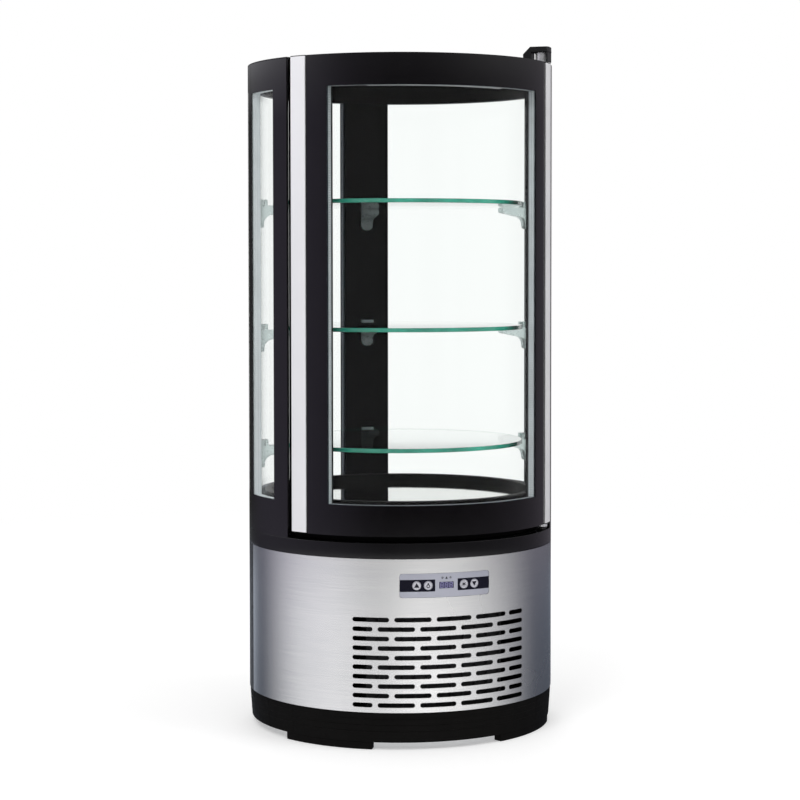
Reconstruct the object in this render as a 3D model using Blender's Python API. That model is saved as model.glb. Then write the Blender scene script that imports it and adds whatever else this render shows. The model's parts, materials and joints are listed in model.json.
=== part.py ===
"""Round refrigerated display case: a glass cylinder on a machine base, with a curved glass door.

Metres, +Z up. The origin is on the case's axis, at the level the feet stand on.
Angles round the case are in degrees from its front (-Y) towards its right side (+X).
"""
import math

import bmesh
import bpy
from mathutils import Matrix
from mathutils import Vector

# Clearances and the fineness of round pieces
GAP = 0.0003                 # between faces that touch
RUNNING_GAP = 0.0004         # round a pin that turns or a button that slides
BITE = 0.001                 # overlap of two shapes that become one piece
OVERCUT = 0.01               # reach of a cutter past the piece it cuts
SHARP_DEG = 30.0             # steeper edges than this stay sharp
ARC_STEP_DEG = 5.0           # longest facet of a large round piece
ROUND_SEGMENTS = 20          # sides of a small round piece
BORE_SEGMENTS = 36           # sides of a fan's bore
BUTTON_SEGMENTS = 16
SHELL_SEGMENTS = 24          # sides of the compressor
GROMMET_SEGMENTS = 12
DOME_STEPS = 5
CORNER_STEPS = 3
BEND_STEPS = 4

# The case as a whole
CASE_RADIUS = 0.225
SHEET = 0.0012               # painted and stainless sheet
FOOT_HEIGHT = 0.0105
FOOT_START_DEG = 27.0
FOOT_END_DEG = 62.0
FOOT_INSET = 0.002           # a foot arc is this much inside the plinth's underside
PLINTH_HEIGHT = 0.0422
PLINTH_WALL = 0.0115
PLINTH_TAPER = 0.0029        # the plinth's foot is this much inside its top
PLINTH_SHY = 0.0005          # the plinth's top edge is this much inside the sheet
WRAP_HEIGHT = 0.215
WRAP_HALF_DEG = 90.0
PAN_SEAT_HEIGHT = 0.0095     # thickness of the plinth's inner ledge
PAN_LEDGE = 0.008            # width of that ledge
COLLAR_HEIGHT = 0.0215
COLLAR_WALL = 0.0123
LEDGE_HEIGHT = 0.0034        # ledge in the collar that carries the floor moulding
LEDGE_DEPTH = 0.0072

# Glazing: two curved panes with a spacer bar between them
GLASS = 0.004
AIR_GAP = 0.009
SPACER_WIDTH = 0.008
WINDOW_SILL = 0.043          # dark border below the clear window
WINDOW_HEAD = 0.0443         # dark border above it
SIDE_BORDER_DEG = 8.5        # dark border at the front of a side unit
POST_START_DEG = 91.0
POST_END_DEG = 99.0
COLUMN_HALF_DEG = 11.0
COLUMN_WALL = 0.003

# Door
DOOR_SILL_GAP = 0.0095       # shadow gap under the door
DOOR_HEIGHT = 0.6705
DOOR_HALF_DEG = 59.6
DOOR_SIDE_GAP_DEG = 2.4      # finger gap between the door and a side unit
DOOR_BORDER_DEG = 10.0       # dark border between the window and an edge strip
STRIP_WIDTH_DEG = 7.1
STRIP_PROUD = 0.002
STRIP_LIP_DEG = 1.6          # part of the strip that laps over the glass
STRIP_CORNER = 0.0025
GASKET_THICKNESS = 0.0057
GASKET_WIDTH = 0.014
GASKET_INSET_DEG = 5.0       # from the window's side edge to the gasket
GASKET_MARGIN = 0.0035       # from the door's top and bottom edges
HINGE_INSET_DEG = 2.6        # from the door's edge to its hinge pins
HINGE_SETBACK = 0.010        # from the case's face to the hinge pins
PIN_RADIUS = 0.004
PIN_DEPTH = 0.022            # reach of a pin into the door
BUSH_RADIUS = 0.0095
BUSH_HEIGHT = 0.0155
HINGE_PLATE = 0.0075
HINGE_PLATE_REACH = 0.0125   # beyond the pin
HINGE_PLATE_WIDTH = 0.026
HINGE_FOOT = 0.003
HINGE_FOOT_LENGTH = 0.034
HINGE_LEG = 0.0115
HINGE_SKIRT = 0.0018
HINGE_SKIRT_GAP = 0.001      # between the skirt and the lid
HINGE_SLOPE = 0.0105

# Cabinet inside
RIM_HEIGHT = 0.011           # rim round the floor plate
RIM_WIDTH = 0.0117
FLOOR_RISE = 0.045           # from the collar's top to the floor plate's top
FLOOR_PLATE = 0.0015
FLOOR_SEAT = 0.012
TUB_DEPTH = 0.065            # room for the evaporator under the floor plate
TUB_BOTTOM = 0.022
JAMB_THICKNESS = 0.0037
JAMB_LAP_DEG = 0.6           # the jamb starts this much before the gasket
JAMB_STEP_DEG = 0.5          # the jamb thickens this much behind the side unit's edge
JAMB_HOLD_DEG = 4.0          # and laps this much over it
CEILING_DROP = 0.039
CEILING_PANEL = 0.004
LID_FLANGE = 0.0015
LAMP_HALF_DEG = 30.0
LAMP_WIDTH = 0.0095
LAMP_HEIGHT = 0.0042
LAMP_SETBACK = 0.0017

# Shelves and their brackets
SHELF_MARGIN = 0.0197        # between a shelf's edge and the lining
SHELF_THICKNESS = 0.006
SHELF_RISES = (0.0774, 0.2474, 0.4295)
BRACKET_WIDTH = 0.018
BRACKET_REACH = 0.035
BRACKET_ARM = 0.0105         # height of the arm at its tip
BRACKET_ROOT = 0.0155        # height of the arm where it meets the leg
BRACKET_DROP = 0.036
BRACKET_LEG = 0.004
BRACKET_LUG = 0.0085
BRACKET_LUG_WIDTH = 0.004
BRACKET_GROOVE = 0.001       # depth of the groove between the lug and the leg
BRACKET_NOSE = 0.003
BRACKET_BEND = 0.0137        # radius of the underside's curve

# Vent slots in the front sheet
VENT_HALF_DEG = 34.0
VENT_LENGTH_DEG = 13.35
VENT_PITCH_DEG = 15.15
VENT_HEIGHT = 0.0065
VENT_ROW_PITCH = 0.01332
VENT_ROWS = 10
VENT_DROP = 0.0847           # from the sheet's top to the centre of the top row
VENT_SHORTEST_DEG = 2.0
VENT_END_POINTS = 4
REAR_VENT_HALF_DEG = 22.0
REAR_VENT_ROWS = 6

# Control panel, with its widths and places measured along the case's face
CONTROL_HALF_WIDTH = 0.0668
CONTROL_HEIGHT = 0.034
CONTROL_DROP = 0.037         # from the sheet's top to the middle of the panel
CONTROL_SHY = 0.0002         # the fascia is this much inside the sheet's face
CONTROL_DEPTH = 0.0055
CONTROL_FLANGE = 0.003
DISPLAY_HALF_WIDTH = 0.0106
DISPLAY_HEIGHT = 0.0094
DISPLAY_DEPTH = 0.002
BUTTON_RADIUS = 0.00625
BUTTON_COLLAR = 0.0015
BUTTON_COLLAR_LENGTH = 0.002
BUTTON_INNER_PLACE = 0.0263  # from the middle of the panel
BUTTON_PITCH = 0.0163

# Machinery in the base
CONDENSER_MARGIN = 0.0135    # of the coil beside its fan frame
CONDENSER_HEAD = 0.007       # of the coil above its fan frame
CONDENSER_DEPTH = 0.035
CONDENSER_SETBACK = 0.057    # from the case's face to the condenser
CONDENSER_FAN_RADIUS = 0.075
CONDENSER_FRAME_WALL = 0.010
FAN_FRAME_DEPTH = 0.026
EVAPORATOR_WIDTH = 0.200
EVAPORATOR_DEPTH = 0.110
EVAPORATOR_HEIGHT = 0.046
EVAPORATOR_BACK = 0.095      # distance of its rear face from the axis
EVAPORATOR_FAN_RADIUS = 0.040
EVAPORATOR_FRAME_WALL = 0.005
FIN_COUNT = 12
FIN_THICKNESS = 0.002
FIN_DEPTH = 0.007
FAN_TIP_GAP = 0.0015
FAN_FRONT_GAP = 0.002        # from the frame's front to the hub
FAN_HUB_SHARE = 0.30         # of the fan's radius
FAN_ARM = 0.004              # half the width of a motor arm
FAN_ARM_THICKNESS = 0.004
MOTOR_FRONT_SHARE = 0.62     # of the frame's depth
MOTOR_PROUD = 0.006          # behind the frame
FAN_BLADES = 5
BLADE_ROOT_SHARE = 0.7       # of the hub's radius
BLADE_DEPTH_SHARE = 0.9      # of the hub's height
BLADE_THICKNESS = 0.0016
BLADE_PITCH_DEG = 32.0
COMPRESSOR_RADIUS = 0.068
COMPRESSOR_HEIGHT = 0.150
COMPRESSOR_X = -0.060
COMPRESSOR_Y = 0.070
SHELL_BASE_SHARE = 0.80      # flat bottom, of the shell's radius
SHELL_BASE_HEIGHT = 0.020
DOME_SHARE = 0.62            # height of the dome, of the shell's radius
MOUNT_PLATE = 0.004
MOUNT_LENGTH_SHARE = 0.95    # of the shell's diameter
MOUNT_WIDTH_SHARE = 0.60
GROMMET_HEIGHT = 0.010
GROMMET_RADIUS = 0.010
GROMMET_PROUD = 0.003        # above the mounting plate
LINE_RADIUS = 0.003
LINE_OUTLET_SHARE = 0.45     # of the compressor's height
LINE_RISE = 0.045
LINE_INSET = 0.005           # from the condenser's side
LINE_SAMPLES = 4
LINE_BEND_SHARES = ((0.21, 0.0, 0.0), (0.52, 0.07, 0.18), (0.75, 0.19, 0.49),
                    (0.86, 0.35, 0.73), (0.96, 0.59, 0.89), (1.0, 0.85, 1.0))
DRIER_RADIUS = 0.009
DRIER_START_SHARE = 0.5      # of the line
DRIER_END_SHARE = 0.68
INLET_DEG = 180.0
INLET_RISE = 0.037
INLET_WIDTH = 0.030
INLET_HEIGHT = 0.022
INLET_DEPTH = 0.024
INLET_FLANGE = 0.009
INLET_WALL = 0.003
INLET_SHY = 0.002            # the socket's mouth is this much inside the case's face
INLET_PIN_RECESS = 0.0085    # from the mouth to the pins' tips
INLET_PIN_SPREAD = 0.007
INLET_PIN_RISE = 0.002       # the earth pin is this much above the middle
INLET_PIN_HALF_WIDTH = 0.001
INLET_PIN_HALF_HEIGHT = 0.002


def arc_deg(length, radius):
    """Angle that a length takes up on a circle."""
    return math.degrees(length / radius)


# Radii worked out from the glazing, from the outside inwards
PANE_INNER = CASE_RADIUS - GLASS
SPACER_OUTER = PANE_INNER - GAP
INNER_PANE_OUTER = PANE_INNER - AIR_GAP
UNIT_INNER = INNER_PANE_OUTER - GLASS
GASKET_OUTER = UNIT_INNER - GAP
POST_INNER = GASKET_OUTER - GASKET_THICKNESS
LINING = POST_INNER - GAP
SHEET_INNER = CASE_RADIUS - SHEET
COLLAR_INNER = CASE_RADIUS - COLLAR_WALL
TUB_SHOULDER = COLLAR_INNER - GAP
SHELF_RADIUS = LINING - SHELF_MARGIN
HINGE_RADIUS = CASE_RADIUS - HINGE_SETBACK
CONDENSER_FRONT = CASE_RADIUS - CONDENSER_SETBACK
CONDENSER_FRAME_HALF = CONDENSER_FAN_RADIUS + FAN_TIP_GAP + CONDENSER_FRAME_WALL
CONDENSER_HALF_WIDTH = CONDENSER_FRAME_HALF + CONDENSER_MARGIN
EVAPORATOR_FRAME_HALF = EVAPORATOR_FAN_RADIUS + FAN_TIP_GAP + EVAPORATOR_FRAME_WALL

# Levels worked out from the floor upwards
PLINTH_TOP = FOOT_HEIGHT + PLINTH_HEIGHT
WRAP_BOTTOM = PLINTH_TOP + GAP
WRAP_TOP = WRAP_BOTTOM + WRAP_HEIGHT
COLLAR_BOTTOM = WRAP_TOP + GAP
COLLAR_TOP = COLLAR_BOTTOM + COLLAR_HEIGHT
GLAZING_BOTTOM = COLLAR_TOP + GAP
DOOR_BOTTOM = COLLAR_TOP + DOOR_SILL_GAP
CASE_TOP = DOOR_BOTTOM + DOOR_HEIGHT
GLAZING_TOP = CASE_TOP - LID_FLANGE - GAP
WINDOW_BOTTOM = DOOR_BOTTOM + WINDOW_SILL
WINDOW_TOP = CASE_TOP - WINDOW_HEAD
CEILING_LEVEL = CASE_TOP - CEILING_DROP
FLOOR_LEVEL = COLLAR_TOP + FLOOR_RISE
SHELF_LEVELS = [FLOOR_LEVEL + rise for rise in SHELF_RISES]
VENT_TOP = WRAP_TOP - VENT_DROP
CONTROL_LEVEL = WRAP_TOP - CONTROL_DROP
INLET_LEVEL = WRAP_BOTTOM + INLET_RISE
RIM_TOP = FLOOR_LEVEL + RIM_HEIGHT
TUB_FLOOR = FLOOR_LEVEL - FLOOR_PLATE - GAP - TUB_DEPTH
PAN_SEAT = FOOT_HEIGHT + PAN_SEAT_HEIGHT
PAN_TOP = PAN_SEAT + GAP + SHEET

# Angles worked out from the door's edge
SIDE_START_DEG = DOOR_HALF_DEG + DOOR_SIDE_GAP_DEG
SIDE_WINDOW_DEG = SIDE_START_DEG + SIDE_BORDER_DEG
DOOR_WINDOW_DEG = DOOR_HALF_DEG - STRIP_WIDTH_DEG - DOOR_BORDER_DEG
GASKET_START_DEG = DOOR_WINDOW_DEG + GASKET_INSET_DEG
HINGE_DEG = DOOR_HALF_DEG - HINGE_INSET_DEG

# Angles worked out from the widths in the control panel
CONTROL_HALF_DEG = arc_deg(CONTROL_HALF_WIDTH, CASE_RADIUS)
DISPLAY_HALF_DEG = arc_deg(DISPLAY_HALF_WIDTH, CASE_RADIUS)
BUTTON_INNER_DEG = arc_deg(BUTTON_INNER_PLACE, CASE_RADIUS)
BUTTON_OUTER_DEG = arc_deg(BUTTON_INNER_PLACE + BUTTON_PITCH, CASE_RADIUS)

# Plain colours and finishes: red, green, blue, roughness, metallic, see-through share
FINISHES = {
    "stainless": (0.72, 0.72, 0.71, 0.28, 1.0, 0.0),
    "mirror_steel": (0.80, 0.80, 0.80, 0.06, 1.0, 0.0),
    "zinc": (0.55, 0.56, 0.58, 0.40, 1.0, 0.0),
    "aluminium": (0.82, 0.82, 0.84, 0.35, 1.0, 0.0),
    "chrome": (0.85, 0.85, 0.86, 0.10, 1.0, 0.0),
    "copper": (0.72, 0.38, 0.22, 0.30, 1.0, 0.0),
    "black_gloss": (0.018, 0.017, 0.020, 0.12, 0.0, 0.0),
    "black_paint": (0.020, 0.020, 0.022, 0.40, 0.0, 0.0),
    "black_plastic": (0.025, 0.025, 0.027, 0.55, 0.0, 0.0),
    "black_rubber": (0.022, 0.022, 0.022, 0.80, 0.0, 0.0),
    "silver_film": (0.62, 0.63, 0.68, 0.45, 0.3, 0.0),
    "silver_plastic": (0.72, 0.72, 0.73, 0.35, 0.2, 0.0),
    "display": (0.05, 0.04, 0.12, 0.15, 0.0, 0.0),
    "clear_glass": (0.94, 0.97, 0.96, 0.02, 0.0, 1.0),
    "green_glass": (0.80, 0.95, 0.90, 0.02, 0.0, 1.0),
    "frosted_plastic": (0.72, 0.80, 0.78, 0.35, 0.0, 0.5),
    "lamp_cover": (0.92, 0.94, 0.95, 0.30, 0.0, 0.3),
}


def clear_scene():
    for old in list(bpy.data.objects):
        bpy.data.objects.remove(old, do_unlink=True)


def polar(radius, angle_deg, level=0.0):
    """Point at a distance from the axis, at an angle from the front."""
    angle = math.radians(angle_deg)
    return Vector((radius * math.sin(angle), -radius * math.cos(angle), level))


def make_material(name, finish):
    red, green, blue, roughness, metallic, clear = FINISHES[finish]
    material = bpy.data.materials.new(name)
    material.use_nodes = True
    shader = material.node_tree.nodes["Principled BSDF"]
    shader.inputs["Base Color"].default_value = (red, green, blue, 1.0)
    shader.inputs["Roughness"].default_value = roughness
    shader.inputs["Metallic"].default_value = metallic
    shader.inputs["Transmission Weight"].default_value = clear
    material.diffuse_color = (red, green, blue, 1.0)
    return material


def add_object(name, bm, finish=None):
    """Turn a bmesh into an object, shaded smooth except at its sharp edges."""
    bmesh.ops.recalc_face_normals(bm, faces=bm.faces[:])
    mesh = bpy.data.meshes.new(name)
    bm.to_mesh(mesh)
    bm.free()
    obj = bpy.data.objects.new(name, mesh)
    bpy.context.scene.collection.objects.link(obj)
    if finish:
        mesh.materials.append(make_material(name, finish))
        mesh.shade_smooth()
        mesh.set_sharp_from_angle(angle=math.radians(SHARP_DEG))
    return obj


def join_shape(obj, tool, operation):
    """Cut a tool from an object, or unite the two, and drop the tool."""
    modifier = obj.modifiers.new("shape", "BOOLEAN")
    modifier.operation = operation
    modifier.solver = "EXACT"
    modifier.object = tool
    bpy.context.view_layer.update()
    depsgraph = bpy.context.evaluated_depsgraph_get()
    mesh = bpy.data.meshes.new_from_object(obj.evaluated_get(depsgraph))
    obj.modifiers.clear()
    obj.data = mesh
    bpy.data.objects.remove(tool, do_unlink=True)
    if mesh.materials:
        mesh.shade_smooth()
        mesh.set_sharp_from_angle(angle=math.radians(SHARP_DEG))


def cut(obj, tool):
    join_shape(obj, tool, "DIFFERENCE")


def unite(obj, tool):
    join_shape(obj, tool, "UNION")


def turned(outline, start_deg=0.0, end_deg=360.0):
    """Sweep an outline of (radius, level) points about the case's axis."""
    span = end_deg - start_deg
    steps = 2 * math.ceil(span / (2.0 * ARC_STEP_DEG))
    whole = span > 359.9
    bm = bmesh.new()
    verts = [bm.verts.new(polar(radius, start_deg, level)) for radius, level in outline]
    if whole:
        for first, second in zip(verts, verts[1:] + verts[:1]):
            if first.co.xy.length > 1e-9 or second.co.xy.length > 1e-9:
                bm.edges.new((first, second))
    else:
        bm.faces.new(verts)
    everything = bm.verts[:] + bm.edges[:] + bm.faces[:]
    bmesh.ops.spin(bm, geom=everything, cent=(0, 0, 0), axis=(0, 0, 1),
                   angle=math.radians(span), steps=steps, use_merge=whole)
    bmesh.ops.remove_doubles(bm, verts=bm.verts[:], dist=1e-6)
    return bm


def curved_box(inner, outer, start_deg, end_deg, bottom, top):
    """Piece of a tube wall between two angles and two levels."""
    return turned([(inner, bottom), (outer, bottom), (outer, top), (inner, top)],
                  start_deg, end_deg)


def curved_frame(name, inner, outer, edges, width, finish):
    """Closed frame of one bar width in a tube wall; edges are its outer limits."""
    start_deg, end_deg, bottom, top = edges
    frame = add_object(name, curved_box(inner, outer, *edges), finish)
    bar_deg = arc_deg(width, outer)
    hole = (start_deg + bar_deg, end_deg - bar_deg, bottom + width, top - width)
    cut(frame, add_object("hole", curved_box(inner - width, outer + width, *hole)))
    return frame


def extruded(points, vector):
    """Solid between a flat outline and the same outline moved along a vector."""
    bm = bmesh.new()
    face = bm.faces.new([bm.verts.new(point) for point in points])
    sides = bmesh.ops.extrude_face_region(bm, geom=[face])
    moved = [item for item in sides["geom"] if isinstance(item, bmesh.types.BMVert)]
    bmesh.ops.translate(bm, verts=moved, vec=vector)
    return bm


def upright(corners, bottom, top):
    """Straight upright whose plan is a list of (radius, angle) corners, with arcs between."""
    points = []
    for (radius, angle), (next_radius, next_angle) in zip(corners, corners[1:] + corners[:1]):
        steps = max(1, math.ceil(abs(next_angle - angle) / ARC_STEP_DEG))
        for step in range(steps):
            share = step / steps
            mixed_radius = radius + (next_radius - radius) * share
            mixed_angle = angle + (next_angle - angle) * share
            points.append(polar(mixed_radius, mixed_angle, bottom))
    return extruded(points, Vector((0, 0, top - bottom)))


def radial_plate(outline, width):
    """Plate whose side view is an outline of (x, z) points, centred across Y."""
    points = [Vector((x, -width / 2.0, z)) for x, z in outline]
    return extruded(points, Vector((0, width, 0)))


def aim_outwards(obj, angle_deg, level=0.0):
    """Turn an object's +X to point away from the axis at an angle round the case."""
    obj.rotation_euler = (0.0, 0.0, math.radians(angle_deg - 90.0))
    obj.location = (0.0, 0.0, level)
    bpy.context.view_layer.update()


def cylinder(radius, start, end, segments=ROUND_SEGMENTS):
    """Closed cylinder from one point to another."""
    bm = bmesh.new()
    add_cylinder(bm, radius, start, end, segments)
    return bm


def add_cylinder(bm, radius, start, end, segments=ROUND_SEGMENTS):
    start = Vector(start)
    end = Vector(end)
    turn = (end - start).to_track_quat("Z", "Y").to_matrix().to_4x4()
    place = Matrix.Translation((start + end) / 2.0) @ turn
    bmesh.ops.create_cone(bm, cap_ends=True, segments=segments, radius1=radius,
                          radius2=radius, depth=(end - start).length, matrix=place)


def box(low, high):
    bm = bmesh.new()
    size = [top - bottom for bottom, top in zip(low, high)]
    centre = [(top + bottom) / 2.0 for bottom, top in zip(low, high)]
    place = Matrix.Translation(centre) @ Matrix.Diagonal((*size, 1.0))
    bmesh.ops.create_cube(bm, size=1.0, matrix=place)
    return bm


def hang_on(pieces, joint_name, position):
    """Parent pieces to an empty on their joint's axis, without moving them."""
    empty = bpy.data.objects.new(joint_name, None)
    empty.location = position
    bpy.context.scene.collection.objects.link(empty)
    bpy.context.view_layer.update()
    for piece in pieces:
        piece.parent = empty
        piece.matrix_parent_inverse = empty.matrix_world.inverted()


# Base: plinth, pan, sheets and collar

def make_plinth():
    """Moulded ring with four foot arcs and an inner ledge for the base pan."""
    top_outer = CASE_RADIUS - PLINTH_SHY
    foot_outer = top_outer - PLINTH_TAPER
    inner = top_outer - PLINTH_WALL
    ledge = inner - PAN_LEDGE
    outline = [(ledge, FOOT_HEIGHT), (foot_outer, FOOT_HEIGHT), (top_outer, PLINTH_TOP),
               (inner, PLINTH_TOP), (inner, PAN_SEAT), (ledge, PAN_SEAT)]
    plinth = add_object("plinth_ring", turned(outline), "black_plastic")
    for side in (0.0, 180.0):
        for hand in (-1.0, 1.0):
            ends = sorted((side + hand * FOOT_START_DEG, side + hand * FOOT_END_DEG))
            foot = curved_box(ledge + FOOT_INSET, foot_outer - FOOT_INSET, ends[0], ends[1],
                              0.0, FOOT_HEIGHT + BITE)
            unite(plinth, add_object("foot", foot))


def make_base_pan():
    """Flat steel plate on the plinth's ledge, which carries the machinery."""
    edge = CASE_RADIUS - PLINTH_SHY - PLINTH_WALL - GAP
    bottom = PAN_SEAT + GAP
    outline = [(0.0, bottom), (edge, bottom), (edge, PAN_TOP), (0.0, PAN_TOP)]
    add_object("base_pan", turned(outline), "zinc")


def slot_cutters(rows, top_level, half_deg, middle_deg):
    """Round-ended slots in staggered rows: long ones, and a short one at alternate ends."""
    bm = bmesh.new()
    for row in range(rows):
        level = top_level - row * VENT_ROW_PITCH
        hand = 1.0 if row % 2 == 0 else -1.0
        start = -half_deg
        while start < half_deg - VENT_SHORTEST_DEG:
            end = min(start + VENT_LENGTH_DEG, half_deg)
            middle = middle_deg + hand * (start + end) / 2.0
            half_length = CASE_RADIUS * math.sin(math.radians((end - start) / 2.0))
            add_slot(bm, middle, level, half_length)
            start += VENT_PITCH_DEG
    return add_object("slots", bm)


def add_slot(bm, middle_deg, level, half_length):
    outward = polar(1.0, middle_deg)
    along = polar(1.0, middle_deg + 90.0)
    radius = VENT_HEIGHT / 2.0
    centre = polar(SHEET_INNER - OVERCUT, middle_deg, level)
    points = []
    for side in (1.0, -1.0):
        for step in range(VENT_END_POINTS):
            angle = math.radians(-90.0 + 180.0 * step / (VENT_END_POINTS - 1))
            offset = half_length - radius + radius * math.cos(angle)
            rise = radius * math.sin(angle)
            points.append(centre + side * (along * offset + Vector((0, 0, rise))))
    face = bm.faces.new([bm.verts.new(point) for point in points])
    sides = bmesh.ops.extrude_face_region(bm, geom=[face])
    moved = [item for item in sides["geom"] if isinstance(item, bmesh.types.BMVert)]
    bmesh.ops.translate(bm, verts=moved, vec=outward * (SHEET + 2.0 * OVERCUT))


def make_sheets():
    """Stainless front sheet and black rear cover, meeting at both sides."""
    seam = arc_deg(GAP / 2.0, CASE_RADIUS)
    front_end = WRAP_HALF_DEG - seam
    wrap = add_object("front_wrap", curved_box(SHEET_INNER, CASE_RADIUS, -front_end, front_end,
                                               WRAP_BOTTOM, WRAP_TOP), "stainless")
    cut(wrap, slot_cutters(VENT_ROWS, VENT_TOP, VENT_HALF_DEG, 0.0))
    half_height = CONTROL_HEIGHT / 2.0
    window = curved_box(SHEET_INNER - OVERCUT, CASE_RADIUS + OVERCUT,
                        -CONTROL_HALF_DEG, CONTROL_HALF_DEG,
                        CONTROL_LEVEL - half_height, CONTROL_LEVEL + half_height)
    cut(wrap, add_object("control_window", window))
    rear = add_object("rear_cover", curved_box(SHEET_INNER, CASE_RADIUS, WRAP_HALF_DEG + seam,
                                               360.0 - WRAP_HALF_DEG - seam,
                                               WRAP_BOTTOM, WRAP_TOP), "black_paint")
    cut(rear, slot_cutters(REAR_VENT_ROWS, VENT_TOP, REAR_VENT_HALF_DEG, 180.0))
    mouth = add_object("inlet_mouth", box(
        (SHEET_INNER - OVERCUT, -INLET_WIDTH / 2.0, -INLET_HEIGHT / 2.0),
        (CASE_RADIUS + OVERCUT, INLET_WIDTH / 2.0, INLET_HEIGHT / 2.0)))
    aim_outwards(mouth, INLET_DEG, INLET_LEVEL)
    cut(rear, mouth)


def make_collar():
    """Black ring above the sheets, with a ledge that carries the floor moulding."""
    ledge = COLLAR_INNER - LEDGE_DEPTH
    outline = [(ledge, COLLAR_BOTTOM), (CASE_RADIUS, COLLAR_BOTTOM), (CASE_RADIUS, COLLAR_TOP),
               (COLLAR_INNER, COLLAR_TOP), (COLLAR_INNER, COLLAR_BOTTOM + LEDGE_HEIGHT),
               (ledge, COLLAR_BOTTOM + LEDGE_HEIGHT)]
    add_object("collar_ring", turned(outline), "black_gloss")


# Machinery: condensing unit in the base, evaporator under the floor plate

def finned_block(name, width, depth, height, finish):
    """Coil block with upright fins on its front and back, centred on X, from y = 0 to depth."""
    pitch = (width - FIN_THICKNESS) / (FIN_COUNT - 1)
    front = []
    for fin in range(FIN_COUNT):
        left = -width / 2.0 + fin * pitch
        right = left + FIN_THICKNESS
        if fin > 0:
            front.append((left, FIN_DEPTH))
        front.append((left, 0.0))
        front.append((right, 0.0))
        if fin < FIN_COUNT - 1:
            front.append((right, FIN_DEPTH))
    back = [(x, depth - y) for x, y in reversed(front)]
    points = [Vector((x, y, 0.0)) for x, y in front + back]
    return add_object(name, extruded(points, Vector((0, 0, height))), finish)


def fan_frame(name, fan_radius, wall, finish):
    """Square fan frame with a round bore, and a motor on four arms at its back.

    Its front is at z = 0 and its back at z = FAN_FRAME_DEPTH, centred on the axis.
    """
    half = fan_radius + FAN_TIP_GAP + wall
    depth = FAN_FRAME_DEPTH
    frame = add_object(name, box((-half, -half, 0.0), (half, half, depth)), finish)
    bore = fan_radius + FAN_TIP_GAP
    cut(frame, add_object("bore", cylinder(bore, (0, 0, -OVERCUT), (0, 0, depth + OVERCUT),
                                           BORE_SEGMENTS)))
    arm_reach = half - wall / 2.0
    for half_x, half_y in ((arm_reach, FAN_ARM), (FAN_ARM, arm_reach)):
        bar = box((-half_x, -half_y, depth - FAN_ARM_THICKNESS), (half_x, half_y, depth))
        unite(frame, add_object("arm", bar))
    motor = cylinder(fan_radius * FAN_HUB_SHARE, (0, 0, depth * MOTOR_FRONT_SHARE),
                     (0, 0, depth + MOTOR_PROUD))
    unite(frame, add_object("motor", motor))
    return frame


def fan_rotor(name, fan_radius, finish):
    """Hub with pitched blades, turning about its own Z, from z = 0 up."""
    hub_radius = fan_radius * FAN_HUB_SHARE
    hub_top = FAN_FRAME_DEPTH * MOTOR_FRONT_SHARE - GAP
    hub_height = hub_top - FAN_FRONT_GAP
    rotor = add_object(name, cylinder(hub_radius, (0, 0, FAN_FRONT_GAP), (0, 0, hub_top)), finish)
    middle = FAN_FRONT_GAP + hub_height / 2.0
    chord = hub_height * BLADE_DEPTH_SHARE / math.sin(math.radians(BLADE_PITCH_DEG))
    for blade in range(FAN_BLADES):
        plate = box((hub_radius * BLADE_ROOT_SHARE, -chord / 2.0, -BLADE_THICKNESS / 2.0),
                    (fan_radius + FAN_TIP_GAP, chord / 2.0, BLADE_THICKNESS / 2.0))
        pitch = Matrix.Rotation(math.radians(BLADE_PITCH_DEG), 4, "X")
        spoke = Matrix.Rotation(math.tau * blade / FAN_BLADES, 4, "Z")
        plate.transform(Matrix.Translation((0, 0, middle)) @ spoke @ pitch)
        unite(rotor, add_object("blade", plate))
    rim = add_object("rim", cylinder(fan_radius, (0, 0, -OVERCUT), (0, 0, hub_top + OVERCUT),
                                     BORE_SEGMENTS))
    join_shape(rotor, rim, "INTERSECT")
    return rotor


def make_condenser():
    """Condenser behind the vents, with its fan drawing air through it from behind."""
    bottom = PAN_TOP + GAP
    coil = finned_block("condenser_coil", 2.0 * CONDENSER_HALF_WIDTH, CONDENSER_DEPTH,
                        2.0 * CONDENSER_FRAME_HALF + CONDENSER_HEAD, "zinc")
    coil.location = (0.0, -CONDENSER_FRONT, bottom)
    frame_front = -CONDENSER_FRONT + CONDENSER_DEPTH + GAP
    centre = Vector((0.0, frame_front, bottom + CONDENSER_FRAME_HALF))
    shroud = fan_frame("condenser_shroud", CONDENSER_FAN_RADIUS, CONDENSER_FRAME_WALL,
                       "black_plastic")
    rotor = fan_rotor("condenser_fan", CONDENSER_FAN_RADIUS, "black_plastic")
    for piece in (shroud, rotor):
        piece.rotation_euler = (math.radians(-90.0), 0.0, 0.0)
        piece.location = centre


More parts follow.
